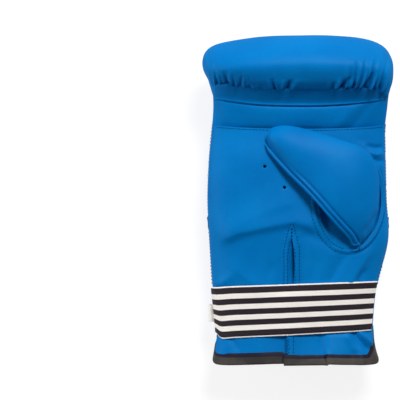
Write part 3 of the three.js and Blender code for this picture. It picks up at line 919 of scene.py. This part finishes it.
# %% [markdown]
# The slit gapes in a long leaf shape and is closed under the strap. Its thumb's side curls up, its far
# side dips, and towards the hem the thumb's side is laid over the other one.

# %% Open the slit and lay one side over the other
GAPE = dict(width=3.0, y=79, length=19)
LAP = dict(shift=-5.0, reach=9, lift=2.9)


def slit_opening(y):
    return GAPE["width"] * bell(y - GAPE["y"], GAPE["length"]) * ramp(SLIT_TOP - y, 0, 6)


def lap(off):
    """Shift and lift of the lapped side, at a distance from the slit."""
    return LAP["shift"] * exp(-abs(off) / LAP["reach"]), LAP["lift"] * bell(off, LAP["reach"])


def part_the_slit(bm, flat):
    for v in bm.verts:
        x, y = in_mm(v.co)
        if y > SLIT_TOP:
            continue
        side = flat[v][0] * PALM_COLUMNS - SLIT_COLUMN
        if abs(side) < 0.1:
            middles = [face.calc_center_median().x for face in v.link_faces]
            side = sum(middles) / len(middles) - v.co.x
        off = x - SLIT_X
        lapped = 1 - ramp(y, 52, 64)
        gape = slit_opening(y)
        if side > 0:
            shift, lift = lap(off)
            v.co.x += (gape * exp(-abs(off) / 5) + lapped * shift) * MM
            v.co.z += (0.35 * gape * bell(off, 3) + lapped * lift) * MM
        else:
            v.co.x += 0.7 * gape * exp(-abs(off) / 2) * MM
            v.co.z -= (1.9 * gape * bell(off, 2.1) + 0.4 * lapped * bell(off, 6)) * MM

# %% [markdown]
# A vent is a small round hole punched through the leather. One point of the grid is taken out there,
# and the points round it are drawn onto a circle that dips a little, as punched leather does.

# %% Punch a vent
VENTS = [(-25.5, 158.5), (-11, 142.5)]
VENT_RADIUS = 1.35
VENT_DIP = 0.25


def spoke_from(middle, v):
    return Vector((v.co.x - middle.x, v.co.y - middle.y, 0)).normalized() * MM


def punch_vent(bm, centre):
    spot = min(bm.verts, key=lambda v: dist(in_mm(v.co), centre))
    middle = spot.co.copy()
    ring = {v for face in spot.link_faces for v in face.verts if v is not spot}
    bmesh.ops.delete(bm, geom=[spot], context="VERTS")
    for v in ring:
        v.co = middle + spoke_from(middle, v) * VENT_RADIUS - Vector((0, 0, VENT_DIP * MM))

# %% [markdown]
# The thumb's hole is cut by taking out the faces inside the oval. That leaves a ragged rim, so the grid
# near it is evened out and its edge is drawn onto the oval, round after round.

# %% Cut the hole for the thumb
RIM_ZONE = 4  # millimetres on either side of the rim where the grid is evened out
RIM_ROUNDS = 12
RIM_SHOWS = dict(inset=0.5, start=52, end=62)  # beside the thumb's upper edge


def rim_inset(x):
    """How far inside the oval the leather ends: its edge shows only beside the thumb's upper edge."""
    return mix(LEATHER, RIM_SHOWS["inset"], ramp(x, RIM_SHOWS["start"], RIM_SHOWS["end"]))


def off_rim(point):
    x, y = in_mm(point)
    return from_hole(x, y) + rim_inset(x)


def cut_thumb_hole(bm):
    inside = [face for face in bm.faces if off_rim(face.calc_center_median()) < 0]
    bmesh.ops.delete(bm, geom=inside, context="FACES")
    middle = place((THUMB_HOLE["x"], THUMB_HOLE["y"], 0))
    near = [v for v in bm.verts if abs(off_rim(v.co)) < RIM_ZONE]
    for _ in range(RIM_ROUNDS):
        bmesh.ops.smooth_vert(bm, verts=near, factor=0.5, use_axis_x=True, use_axis_y=True)
        for v in near:
            if v.is_boundary:
                v.co -= spoke_from(middle, v) * off_rim(v.co)
    for v in near:
        v.co.z = plain_height(*in_mm(v.co)) * MM
    bm.normal_update()
    print("thumb hole cut,", len(inside), "faces")

# %% [markdown]
# The palm is then made in the order that a workshop would follow: cut the slit and the hole, shape the
# leather over the foam, let the slit gape, and punch the vents.

# %% Build the palm
def build_palm():
    bm = flat_grid(PALM_COLUMNS, PALM_ROWS)
    cut = []
    for edge in bm.edges:
        on_column = all(abs(v.co.x - AT_SLIT) < 1e-4 for v in edge.verts)
        if on_column and max(palm_surface(v.co.x, v.co.y).y for v in edge.verts) < SLIT_TOP:
            cut.append(edge)
    bmesh.ops.split_edges(bm, edges=cut)
    flat = carry(bm, palm_surface)
    face_outwards(bm, (0, 0, 1))
    cut_thumb_hole(bm)

    def relief(u, v, point):
        x, y = in_mm(point)
        soft = dents(point, 30, 0.8, 2) + dents(point, 60, 2.2, 8)
        return (palm_relief(x, y) + soft) * seam_fade(palm_share(u, y))

    push_out(bm, flat, relief)
    part_the_slit(bm, flat)
    for vent in VENTS:
        punch_vent(bm, vent)
    return thicken(piece(bm, "palm", [leather, lining], "leather", "palm_panel"), LEATHER)


palm = build_palm()

# %% [markdown]
# ## Back of the cuff
# Behind the wrist lies a smooth panel of leather. It is one grid on the back of the cross-sections,
# pressed flat where it meets the table. A folded strip, stitched down twice, covers the seam between it
# and the quilted hood.

# %% Build the back of the cuff
ABOVE_FLOOR = 0.0002


def build_back():
    bm = flat_grid(110, 84)

    def surface(u, v):
        share = eased_share(u)
        return back_point(share, mix(hem_of_back(share) + BINDING_WIDTH, BACK_SEAM - GAP, v))

    flat = carry(bm, surface)
    face_outwards(bm, (0, 0, -1))

    def relief(u, v, point):
        return (dents(point, 34, 0.4, 4) + dents(point, 80, 0.8, 6)) * rise(eased_share(u))

    push_out(bm, flat, relief)
    for v in bm.verts:
        v.co.z = max(ABOVE_FLOOR, v.co.z)
    return thicken(piece(bm, "cuff_back", [leather, lining], "leather", "back_cuff"), LEATHER)


build_back()

# %% [markdown]
# The strip is thin, and stands up where it is folded over the seam. It runs right to the side seams,
# where it lies flatter.

# %% Build the strip over the seam
WELT_PROFILE = table("y out", [
    (BACK_SEAM - 8.8, 0.25),
    (BACK_SEAM - 7.2, 1.0),
    (BACK_SEAM - 5.6, 0.75),
    (BACK_SEAM - 2.6, 0.85),
    (BACK_SEAM - 1.4, 1.35),
    (BACK_SEAM - 0.5, 1.8),
    (BACK_SEAM + 0.4, 1.1),
    (BACK_SEAM + 0.9, -0.6),
])
welt_out = column(WELT_PROFILE, "y", "out")
WELT_WALL = 0.9
WELT_FLAT = 0.4  # the share of its height that the strip keeps at the side seams


def build_welt():
    bm = flat_grid(110, 14)

    def surface(u, v):
        share = eased_share(u)
        y = mix(WELT_PROFILE[0]["y"], WELT_PROFILE[-1]["y"], v)
        return back_point(share, y, -GAP - welt_out(y) * mix(1, WELT_FLAT, abs(share) ** 6))

    carry(bm, surface)
    face_outwards(bm, (0, 0, -1))
    for v in bm.verts:
        v.co.z = max(ABOVE_FLOOR / 2, v.co.z)
    return thicken(piece(bm, "back_strip", [leather], "leather", "back_welt"), WELT_WALL)


welt = build_welt()

# %% [markdown]
# ## Bands across the fingers
# Two bands lie between the roll and the palm. The upper one is nearly flat, with a folded lower edge
# that stands up and an upper edge tucked under the roll. The lower one puffs out like a cushion. A table
# per band gives its profile from the lower edge to the upper edge, because the bands differ only there.

# %% Profiles of the two bands
BAND_SEAM = dict(y=206, rise=6)
TUCK = 1.6  # how far an edge runs on under its neighbour
UNDER_ROLL = 4.2  # and how far under the gathered roll
BAND_WALL = 3.4  # two leathers with thin foam between them
BAND_PROFILE = table("v out", [
    (0.0, -1.4),
    (0.025, 0.4),
    (0.06, 1.0),
    (0.1, 0.6),
    (0.16, 0.3),
    (0.3, 0.35),
    (0.55, 0.9),
    (0.78, 1.3),
    (0.9, -0.4),
    (1.0, -5),
])
GUSSET_PROFILE = table("v out", [
    (0.0, -6.0),
    (0.07, -4.6),
    (0.2, -2.6),
    (0.42, -0.6),
    (0.66, 0.6),
    (0.84, 0.5),
    (0.93, -0.6),
    (1.0, -2.2),
])

# %% [markdown]
# Each band is a grid between two lines, low and high, swollen by its profile and dented by a few folds.
# It is thick, because foam lies between its two leathers.

# %% Build the two bands
def gather_seam_at(share):
    return mix(HAND_POLE, HOOD[-1]["hand_y"], tip_rise(share)) + seam_lift(share) * tip_rise(share)


def build_band(name, node_name, low, high, profile, rows, folds):
    bm = flat_grid(150, rows)
    swell = column(profile, "v", "out")

    def surface(u, v):
        share = eased_share(u)
        v = (1 - cos(pi * v)) / 2
        point = palm_point(share, mix(low(share), high(share), v))
        point.z += swell(v) * rise(share) ** 1.5
        return point

    flat = carry(bm, surface)
    face_outwards(bm, (0, 0, 1))

    def relief(u, v, point):
        x, _ = in_mm(point)
        total = dents(point, 26, 0.5, 9)
        for fold in folds:
            line = fold["x"] + fold["lean"] * v
            total += fold["height"] * bell(x - line, fold["width"]) * sin(pi * v)
        return total * rise(eased_share(u))

    push_out(bm, flat, relief)
    band = thicken(piece(bm, name, [leather, lining], "leather", node_name), BAND_WALL)


build_band(
    "upper_band", "finger_band",
    lambda share: seam_at(BAND_SEAM, share) + GAP,
    lambda share: gather_seam_at(share) + UNDER_ROLL,
    BAND_PROFILE, 30, table("x lean height width", [(-50, 4, -0.4, 3), (20, -6, 0.3, 8)]),
)
build_band(
    "lower_band", "finger_gusset",
    lambda share: seam_at(PALM_SEAM, share) - TUCK,
    lambda share: seam_at(BAND_SEAM, share) + TUCK,
    GUSSET_PROFILE, 34,
    table("x lean height width",
          [(-60, -8, -1.2, 2.4), (-52, -9, 0.7, 3.5), (24, 30, 0.7, 6), (38, 26, -0.6, 4)]),
)

# %% [markdown]
# ## The thumb
# The thumb is a leaf-shaped pad that lies over the palm and is sewn round the oval hole. The table
# runs from its tip to the crotch. `a` is the lower edge, `b` the upper edge, each with its height over
# the palm, and crown and belly say how far the pad swells above and below.

# %% Table of the thumb
THUMB = table("k ax ay bx by a_up b_up crown belly", [
    (0, -25.2, 182.5, -24.0, 185, 4.5, 4.5, 1.4, 0.8),
    (1, -23, 175, -19.5, 189.6, 4.6, 5.5, 5.5, 2),
    (2, -15.4, 165.2, -8.5, 191, 5.6, 6.5, 7.5, 3),
    (3, -5, 153.8, 10, 187.3, 7.5, 7.6, 7.4, 4),
    (4, 5.8, 143.2, 30, 180.8, 9.5, 8.4, 6.6, 5),
    (5, 16.2, 132.2, 50, 173.6, 11.5, 8.8, 6.0, 6),
    (6, 25.4, 121.6, 61.6, 160, 11.5, 8.6, 5.4, 6),
    (7, 34.8, 111.4, 65.0, 137, 9.5, 7, 5, 4),
    (8, 42.4, 103.2, 60.6, 112, 6.5, 4.4, 3, 1.5),
    (9, 46.6, 94.6, 50.4, 97.4, 2.4, 1.6, 0.9, 0.2),
])
thumb_curve = columns(THUMB, "k")
THUMB_CREASE = dict(line=[(64.5, 125), (58, 114), (50, 103)], height=-1.3, above=4, below=1.8)
RIDGE = dict(at=1.3, height=0.9, width=0.8)  # millimetres from the pad's lower edge
GROOVE = dict(at=3.1, height=-1.1, width=1.0)
CLEARANCE = 0.6  # between the pad's underside and the palm


def palm_height(x, y):
    """The height of the palm's surface with its folds, but without its soft dents."""
    return plain_height(x, y) + palm_relief(x, y) * seam_fade(share_at(x, y))


def thumb_frame(k, t):
    """A point across the thumb on its seam, and the pad's measures there."""
    c = {name: curve(k) for name, curve in thumb_curve.items()}
    x = mix(c["ax"], c["bx"], t)
    y = mix(c["ay"], c["by"], t)
    c["width"] = hypot(c["bx"] - c["ax"], c["by"] - c["ay"])
    return Vector((x, y, plain_height(x, y) + mix(c["a_up"], c["b_up"], t))), c


def thumb_top(k, t):
    point, c = thumb_frame(k, t)
    from_edge = t * c["width"]
    trims = sum(trim["height"] * bell(from_edge - trim["at"], trim["width"]) for trim in (RIDGE, GROOVE))
    point.z += c["crown"] * puff(t, mix(0.75, 0.62, ramp(k, 1, 5)))
    point.z += trims * ramp(k, 2.4, 4.6) * (1 - ramp(k, 8.4, 9))
    return point


def thumb_bottom(k, t):
    point, c = thumb_frame(k, t)
    point.z = max(point.z - c["belly"] * puff(t, 0.8), palm_height(point.x, point.y) + CLEARANCE)
    return point

# %% [markdown]
# The pad is two grids, above and below, that are merged along their edges. A cosine crowds the columns
# towards both edges, where the pad turns fastest.

# %% Build the thumb's pad
THUMB_COLUMNS = 76
THUMB_ROWS = 110


def thumb_half(half):
    bm = flat_grid(THUMB_COLUMNS, THUMB_ROWS)
    carry(bm, lambda u, v: half((len(THUMB) - 1) * v, (1 - cos(pi * u)) / 2))
    return bm


def build_thumb_pad():
    bm = thumb_half(thumb_top)
    join(bm, thumb_half(thumb_bottom))
    close_up(bm, 0.00003)
    for v in bm.verts:
        if v.normal.z > 0.2:
            soft = dents(v.co, 26, 0.5, 12) + dents(v.co, 60, 0.9, 14)
            v.co += v.normal * (soft + height_of(THUMB_CREASE, *in_mm(v.co))) * MM
    pad = piece(bm, "thumb_pad", [leather], "leather", "thumb")


build_thumb_pad()

# %% [markdown]
# The neck joins the pad to the oval hole. It is a short tube of leather: it leaves the palm almost
# flat inside the welt, and then turns up under the pad. A spin cannot make it, because each ring is
# an oval of its own, so a grid is wrapped round and its two ends are merged.

# %% Build the thumb's neck
NECK = table("v x y half_x half_y up", [
    (0.0, 40.6, 132.4, 26.8, 39.8, -1.6),
    (0.08, 40.6, 132.4, 26.0, 38.8, -0.7),
    (0.22, 40.6, 133, 23.4, 35.5, -1.3),
    (0.4, 41.6, 135, 19, 28, -2.4),
    (0.6, 42, 136.5, 15.6, 23, 0.5),
    (0.8, 42, 137, 13.5, 20, 4),
    (1.0, 42, 138, 10.5, 16, 8),
])
neck_curve = columns(NECK, "v")
NECK_WALL = 1.6
TRENCH = dict(depth=4.5, v=0.2, width=0.16)  # the hollow between the thumb and the mitt's edge
INSIDE_NECK = (45, 140, 60)


def build_neck():
    bm = flat_grid(120, 24)

    def surface(u, v):
        c = {name: curve(v) for name, curve in neck_curve.items()}
        x = c["x"] + c["half_x"] * cos(tau * u)
        y = c["y"] + c["half_y"] * sin(tau * u)
        shallow = 0.7 * ramp(-sin(tau * u), 0.55, 0.95)
        up = c["up"] * (1 - shallow) if c["up"] < 0 else c["up"]
        trench = TRENCH["depth"] * ramp(cos(tau * u), 0.45, 0.85)
        trench *= bell(v - TRENCH["v"], TRENCH["width"])
        return Vector((x, y, plain_height(x, y) + up - trench))

    carry(bm, surface)
    bmesh.ops.remove_doubles(bm, verts=bm.verts, dist=0.00002)
    bmesh.ops.recalc_face_normals(bm, faces=bm.faces)
    top = max(bm.faces, key=lambda f: f.calc_center_median().z)
    if top.normal.dot(top.calc_center_median() - place(INSIDE_NECK)) < 0:
        bmesh.ops.reverse_faces(bm, faces=bm.faces)
    thicken(piece(bm, "thumb_neck", [leather], "leather", "thumb"), NECK_WALL)


build_neck()

# %% [markdown]
# Piping follows the thumb's lower edge: a cord under a strip of leather. It is a round section swept
# along the edge, by a grid wrapped round a curve, and past the crotch it curls under onto the palm.

# %% Build the piping
PIPING_RADIUS = 1.45
CURL = [(48.2, 97.2, 3.6), (49.2, 94.4, 2.0), (47.2, 92.0, 1.2), (43.6, 91.6, 0.7), (40.5, 92.4, -0.2)]


def thumb_edge(k, outward, up):
    here = Vector((thumb_curve["ax"](k), thumb_curve["ay"](k)))
    ahead = Vector((thumb_curve["ax"](k + 0.05), thumb_curve["ay"](k + 0.05)))
    along = (ahead - here).normalized()
    spot = here + Vector((along.y, -along.x)) * outward
    return Vector((spot.x, spot.y, plain_height(*here) + thumb_curve["a_up"](k) + up))


def piping_path():
    path = [thumb_edge(k, PIPING_RADIUS + 0.15, -0.9) for k in np.linspace(0.5, 8.7, 60)]
    return path + [Vector((x, y, plain_height(x, y) + up)) for x, y, up in CURL]


def build_piping():
    stops = resample(piping_path(), 1.0)
    bm = flat_grid(12, 3 * len(stops))

    def surface(u, v):
        spot = v * (len(stops) - 1)
        i = min(int(spot), len(stops) - 2)
        centre = stops[i].lerp(stops[i + 1], spot - i)
        along = stops[min(i + 2, len(stops) - 1)] - stops[max(i - 1, 0)]
        sideways = Vector((along.y, -along.x, 0)).normalized()
        radius = PIPING_RADIUS * min(1.0, 14 * v + 0.05, 9 * (1 - v) + 0.05)
        turn = tau * u
        return centre + radius * (sideways * cos(turn) + Vector((0, 0, sin(turn))))

    carry(bm, surface)
    close_up(bm, 0.00001)
    piece(bm, "piping", [leather], "leather", "thumb_piping")


build_piping()

# %% [markdown]
# ## The elastic strap
# The cuff is pulled in by a wide woven elastic with black and white stripes along it. Its pattern
# follows the cloth, so it is painted by the piece's own UV map: V runs across the strap. The stripes
# differ a little in height, because each is a group of covered rubber threads.

# %% Finish of the elastic
STRAP_WIDTH = 40
STRAP_LENGTH = 190
BLACK_STRIPE = 0.114  # shares of the strap's width
WHITE_STRIPE = 0.098
TOP_EDGE = 0.02
STRIPES = 5
RIB = 0.9  # millimetres from rib to rib along the strap
THREAD = 1.1  # and from thread to thread across it


def elastic_finish():
    finish, tree, shader = new_finish("striped_elastic", Specular_IOR_Level=0.25)
    uv = node(tree, "ShaderNodeUVMap", {"uv_map": "UVMap"})
    along, up, _ = split(tree, uv)
    across = 1 - up + 0.004 * (clouds_at(tree, uv, 9, 2) - 0.5)
    black = 0.0
    for i in range(STRIPES):
        start = TOP_EDGE + i * (BLACK_STRIPE + WHITE_STRIPE)
        end = start + BLACK_STRIPE
        black = across.step(start - 0.004, start + 0.006) - across.step(end - 0.006, end + 0.004) + black
    ribs = (along * (STRAP_LENGTH / RIB * tau)).sine() * 0.5 + 0.5
    threads = (up * (STRAP_WIDTH / THREAD * tau)).sine() * 0.5 + 0.5
    weave = ribs * 0.6 + threads * 0.4
    shade = clouds_at(tree, uv, 160, 3) * 0.6 + weave * 0.4
    white = blend_colours(tree, shade, colour(246, 237, 228), colour(255, 252, 247))
    dark = blend_colours(tree, shade, colour(20, 15, 22), colour(46, 38, 46))
    plug(shader, "Base Color", blend_colours(tree, black, white, dark))
    plug(shader, "Roughness", 0.92 - 0.2 * black)
    plug(shader, "Normal", bumps(tree, weave - 0.5 * black, 0.00025, 0.6))
    return finish


elastic = elastic_finish()

# %% [markdown]
# The strap lies over the palm side of the cuff, a little higher at the thumb, and is caught in both
# side seams. It presses on the leather below it, so it follows every wave of the cuff closely.

# %% Build the strap
STRAP_MIDDLE = dict(left=42, right=47.6)
STRAP_WALL = 1.5
STRAP_EDGE = dict(drop=0.5, width=0.02)  # the woven edges are thinner


def strap_surface(u, v):
    share = crowded(mix(-1, mix(0.905, 0.93, v), u), 1.35)
    middle = mix(STRAP_MIDDLE["left"], STRAP_MIDDLE["right"], (share + 1) / 2)
    middle -= 0.6 * bell(share + 0.95, 0.12)
    width = STRAP_WIDTH * mix(1.02, 0.965, u)
    y = middle + width * (v - 0.5)
    y += 4.5 * bell(share + 1, 0.045) * (1 - v) ** 2
    point = palm_point(share, y)
    flap = 1.6 * bell(point.x + 7, 14) * (1 - ramp(y, 50, 68))
    point.z += (hem_relief(point.x, y) * 0.6 + flap) * seam_fade(share)
    return point


def strap_relief(u, v, point):
    edges = bell(v, STRAP_EDGE["width"]) + bell(1 - v, STRAP_EDGE["width"])
    return -STRAP_EDGE["drop"] * edges + dents(point, 12, 0.18, 20)


def build_strap():
    bm = flat_grid(150, 44)
    flat = carry(bm, strap_surface)
    face_outwards(bm, (0, 0, 1))
    push_out(bm, flat, strap_relief)
    thicken(piece(bm, "strap", [elastic], "elastic", "wrist_strap"), STRAP_WALL, offset=1)


build_strap()

# %% [markdown]
# ## Tape round the hem
# The raw edge of the cuff is bound with black tape, folded over it and sewn through. Its section is a
# long U. The grid runs round that section, from the outside over the hem to the inside.

# %% Finish of the tape
def tape_finish():
    finish, tree, shader = new_finish("black_tape", Specular_IOR_Level=0.25)
    where = node(tree, "ShaderNodeTexCoord", output="Object")
    fuzz = clouds_at(tree, where, 900, 3)
    shade = clouds_at(tree, where, 45, 3).step(0.3, 0.75)
    _, round_hem, _ = split(tree, node(tree, "ShaderNodeUVMap", {"uv_map": "UVMap"}))
    # Painted shade: both top edges of the tape turn dark navy, as the groove where the tape meets the
    # leather looks in shadow.
    edge = (round_hem * 2 - 1).size().step(0.72, 0.82)
    black = blend_colours(tree, shade, colour(44, 41, 41), colour(78, 73, 68))
    plug(shader, "Base Color", blend_colours(tree, edge, black, colour(10, 6, 34)))
    plug(shader, "Roughness", 0.5 + 0.25 * fuzz)
    plug(shader, "Normal", bumps(tree, fuzz, 0.0002, 0.4))
    return finish


tape = tape_finish()

# %% [markdown]
# The tape follows the folds of the leather that it holds. On the palm it is in two pieces, because the
# slit cuts the hem, and the thumb's side is lapped over the other one as the leather is.

# %% Build the tape
TAPE_BULGE = 0.8
TAPE_WALL = 0.5
ROUND_HEM = 0.25  # the share of the section that turns round the hem
SIDE_HEIGHT = 0.024  # metres, about half way up the cuff


def build_tape(name, node_name, point_at, hem, from_share, to_share, shift, across):
    bm = flat_grid(across, 26)

    def surface(u, v):
        share = crowded(mix(from_share, to_share, u), 1.5)
        around = abs(2 * v - 1)
        width = tape_width(share)
        up = width * around ** 1.6
        if around < ROUND_HEM:
            up = width * ROUND_HEM ** 1.6 * (around / ROUND_HEM) ** 2
        thick = LEATHER / 2 + TAPE_BULGE * (0.35 + 0.65 * min(1.0, 6 * (1 - around) + 0.1))
        outward = copysign(1, v - 0.5) * min(1.0, around / 0.22) ** 0.5
        point = point_at(share, hem(share) + up, LEATHER / 2 - outward * thick)
        return point + shift(share, point.x, hem(share) + up)

    carry(bm, surface)
    bmesh.ops.recalc_face_normals(bm, faces=bm.faces)
    outermost = max(bm.faces, key=lambda f: abs(f.calc_center_median().z - SIDE_HEIGHT))
    if outermost.normal.z * (outermost.calc_center_median().z - SIDE_HEIGHT) < 0:
        bmesh.ops.reverse_faces(bm, faces=bm.faces)
    thicken(piece(bm, name, [tape], "binding", node_name), TAPE_WALL)


def unmoved(*_):
    return Vector()


def far_side_lift(share, x, y):
    return Vector((0, 0, palm_relief(x, y) * seam_fade(share) - 0.4 * bell(x - SLIT_X, 6)))


def thumb_side_lift(share, x, y):
    across, lift = lap(x - SLIT_X)
    return Vector((across, 0, palm_relief(x, y) * seam_fade(share) + lift))


split_share = share_at(SLIT_X, 0)
for name, node_name, point_at, hem, start, end, shift, count in (
    ("tape_back", "binding_back", back_point, hem_of_back, -1, 1, unmoved, 110),
    ("tape_left", "binding_palm_left", palm_point, hem_of_palm, -1, split_share, far_side_lift, 90),
    ("tape_right", "binding_palm_right", palm_point, hem_of_palm, split_share, 1, thumb_side_lift, 130),
):
    build_tape(name, node_name, point_at, hem, start, end, shift, count)

# %% [markdown]
# ## The ribbon at the side
# A small folded ribbon is caught in the far side seam, like the care label of a garment. It is left
# blank. One short grid, folded round and curled a little, is enough for it.

# %% Build the ribbon
RIBBON = dict(width=14, reach=6.5, y=41, thickness=0.45)


def ribbon_finish():
    finish, tree, shader = new_finish("ribbon")
    weave = clouds_at(tree, node(tree, "ShaderNodeTexCoord", output="Object"), 1400, 2)
    white = blend_colours(tree, weave, colour(236, 232, 226), colour(250, 247, 242))
    plug(shader, "Base Color", white)
    plug(shader, "Roughness", 0.7 + 0.2 * weave)
    plug(shader, "Normal", bumps(tree, weave, 0.0002, 0.5))
    return finish


def build_ribbon():
    bm = flat_grid(24, 16)
    root_x = left_at(RIBBON["y"]) + 1
    root_z = side_at(RIBBON["y"])

    def surface(u, v):
        turn = pi * (u - 0.5)
        reach = RIBBON["reach"] * cos(turn) ** 0.45
        curl = 0.5 * sin(3 * v) + 0.4 * (v - 0.5)
        z = root_z + 0.9 * sin(turn) + curl
        return Vector((root_x - reach, RIBBON["y"] + RIBBON["width"] * (v - 0.5), z))

    carry(bm, surface)
    face_outwards(bm, (-1, 0, 0))
    thicken(piece(bm, "ribbon", [ribbon_finish()], "ribbon", "side_label"), RIBBON["thickness"])


build_ribbon()

# %% [markdown]
# ## All the stitching
# Each seam of the mitt gets its rows. Rows on flat leather follow the palm, and rows in the quilting
# lie at the bottom of the channels.

# %% Sew the quilting
def quilt_seam(share):
    points = []
    for along in np.arange(5, HOOD_LENGTH, 3):
        y, z = hood_y(along), hood_z(along)
        if y > POLE - 20 and z > QUILT_FADE["end"] - 4:
            break
        points.append(hood_point(y, z, share, POLE, 0))
    return points


sewn = bmesh.new()
hood_skin = skin_of(hood)
for line in QUILT_LINES:
    stitch_row(sewn, hood_skin, quilt_seam(line))
piece(sewn, "stitches_quilting", [thread], "leather")

# %% [markdown]
# The flat seams: two rows on the strip behind the wrist, one row under the bands, two rows round the
# thumb's hole and two rows on each side of the slit. Only where the palm's leather lies flat do stitches
# show, so the rows round the hole leave out the part under the thumb.

# %% Lines of the flat seams
def palm_line(points):
    return [Vector((x, y, palm_height(x, y))) for x, y in points]


def back_line(y):
    return [back_point(share, y, -1.5) for share in np.linspace(-0.985, 0.985, 90)]


def hole_line(out, start, end):
    h = THUMB_HOLE
    points = []
    for angle in np.radians(np.linspace(start, end, 60)):
        x = h["x"] + (h["half_x"] + out) * cos(angle)
        points.append((x, h["y"] + (h["half_y"] + out) * sin(angle)))
    return palm_line(points)


def slit_line(side, inset, low):
    levels = np.linspace(low, SLIT_APEX - 1 - inset, 60)
    return palm_line([(SLIT_X + side * max(0.2, beside_slit(y + inset) - inset), y) for y in levels])


def flap_line(x):
    return [point + Vector((0, 0, 3)) for point in palm_line([(x, y) for y in np.linspace(9.5, 26, 10)])]

# %% [markdown]
# The side seams are sewn through as well, apart from the stretch under the strap and the part that the
# roll hides. Those stitches stand a little prouder, so that they show along the outline.

# %% Sew the flat seams
TOP_ROW = 1.7  # below the palm's upper seam
SLIT_ROWS = (0, 3.4)  # inside the outermost line
FLAP_ROWS = (-6.2, -2.8)
SIDE_STRETCHES = ((12, 24), (64, 212))

palm_skin = skin_of(palm)
welt_skin = skin_of(welt)
sewn = bmesh.new()
for y in (BACK_SEAM - 2.4, BACK_SEAM - 7.0):
    stitch_row(sewn, welt_skin, back_line(y))
shares = np.linspace(-0.96, 0.96, 80)
rows = [[palm_point(share, seam_at(PALM_SEAM, share) - TOP_ROW) for share in shares]]
rows += [hole_line(0.3, 150, 262), hole_line(4.3, 150, 252), hole_line(3.2, 285, 395)]
rows += [slit_line(side, inset, 62) for side in (-1, 1) for inset in SLIT_ROWS]
rows += [flap_line(x) for x in FLAP_ROWS]
for row in rows:
    stitch_row(sewn, palm_skin, row)
for side in (-1, 1):
    for low, high in SIDE_STRETCHES:
        side_row = [palm_point(side, y) for y in np.linspace(low, high, 60)]
        stitch_row(sewn, palm_skin, side_row, above=0.3)
piece(sewn, "stitches_seams", [thread], "leather")

# %% [markdown]
# ## Floor and light
# The mitt lies on a plain pale table. The table also gives off some light of its own, which keeps it
# pale right up to the mitt, where the mitt's shadow would otherwise grey it.

# %% Floor
bm = bmesh.new()
bmesh.ops.create_grid(bm, x_segments=1, y_segments=1, size=4)
floor_mesh = bpy.data.meshes.new("table")
bm.to_mesh(floor_mesh)
bm.free()
floor = bpy.data.objects.new("table", floor_mesh)
floor.location.z = -ABOVE_FLOOR
bpy.context.collection.objects.link(floor)
GREY = (0.2, 0.2, 0.2, 1)
WHITE = (1, 1, 1, 1)
floor_finish, _, _ = new_finish(
    "pale_table", Base_Color=GREY, Roughness=0.9, Emission_Color=WHITE, Emission_Strength=0.84)
floor_mesh.materials.append(floor_finish)
print("table top at", floor.location.z, "m")

# %% [markdown]
# A large soft light stands beyond the fingertips, so the roll shades the bands below it. A weaker one
# stands low beside the far side of the hand. The sky does the rest: it is brightest near the horizon
# and beyond the fingertips, so the leather that faces that way is a little lighter.

# %% Lights
SKY = dict(level=0.31, overhead=-0.19, beyond=0.16)

world = bpy.data.worlds.new("sky")
bpy.context.scene.world = world
world.use_nodes = True
background = world.node_tree.nodes["Background"]
background.inputs["Color"].default_value = (0.97, 0.97, 1.0, 1)
direction = node(world.node_tree, "ShaderNodeTexCoord", output="Generated")
_, away, height = split(world.node_tree, direction)
plug(background, "Strength", SKY["level"] + SKY["overhead"] * height.size() + SKY["beyond"] * away)


def soft_light(name, spot, size, power):
    lamp = bpy.data.lights.new(name, "AREA")
    lamp.shape = "RECTANGLE"
    lamp.size, lamp.size_y = size
    lamp.energy = power
    made = bpy.data.objects.new(name, lamp)
    made.location = spot
    made.rotation_euler = (Vector((0, 0, 0.03)) - Vector(spot)).to_track_quat("-Z", "Y").to_euler()
    bpy.context.collection.objects.link(made)
    print(name, power, "W")


soft_light("far_light", (0.37, 1.16, 1.45), (0.7, 0.5), 33)
soft_light("side_light", (-1.3, 0.0, 0.6), (0.8, 0.6), 8)
bpy.context.scene.view_settings.view_transform = "Standard"
bpy.context.scene.view_settings.look = "None"
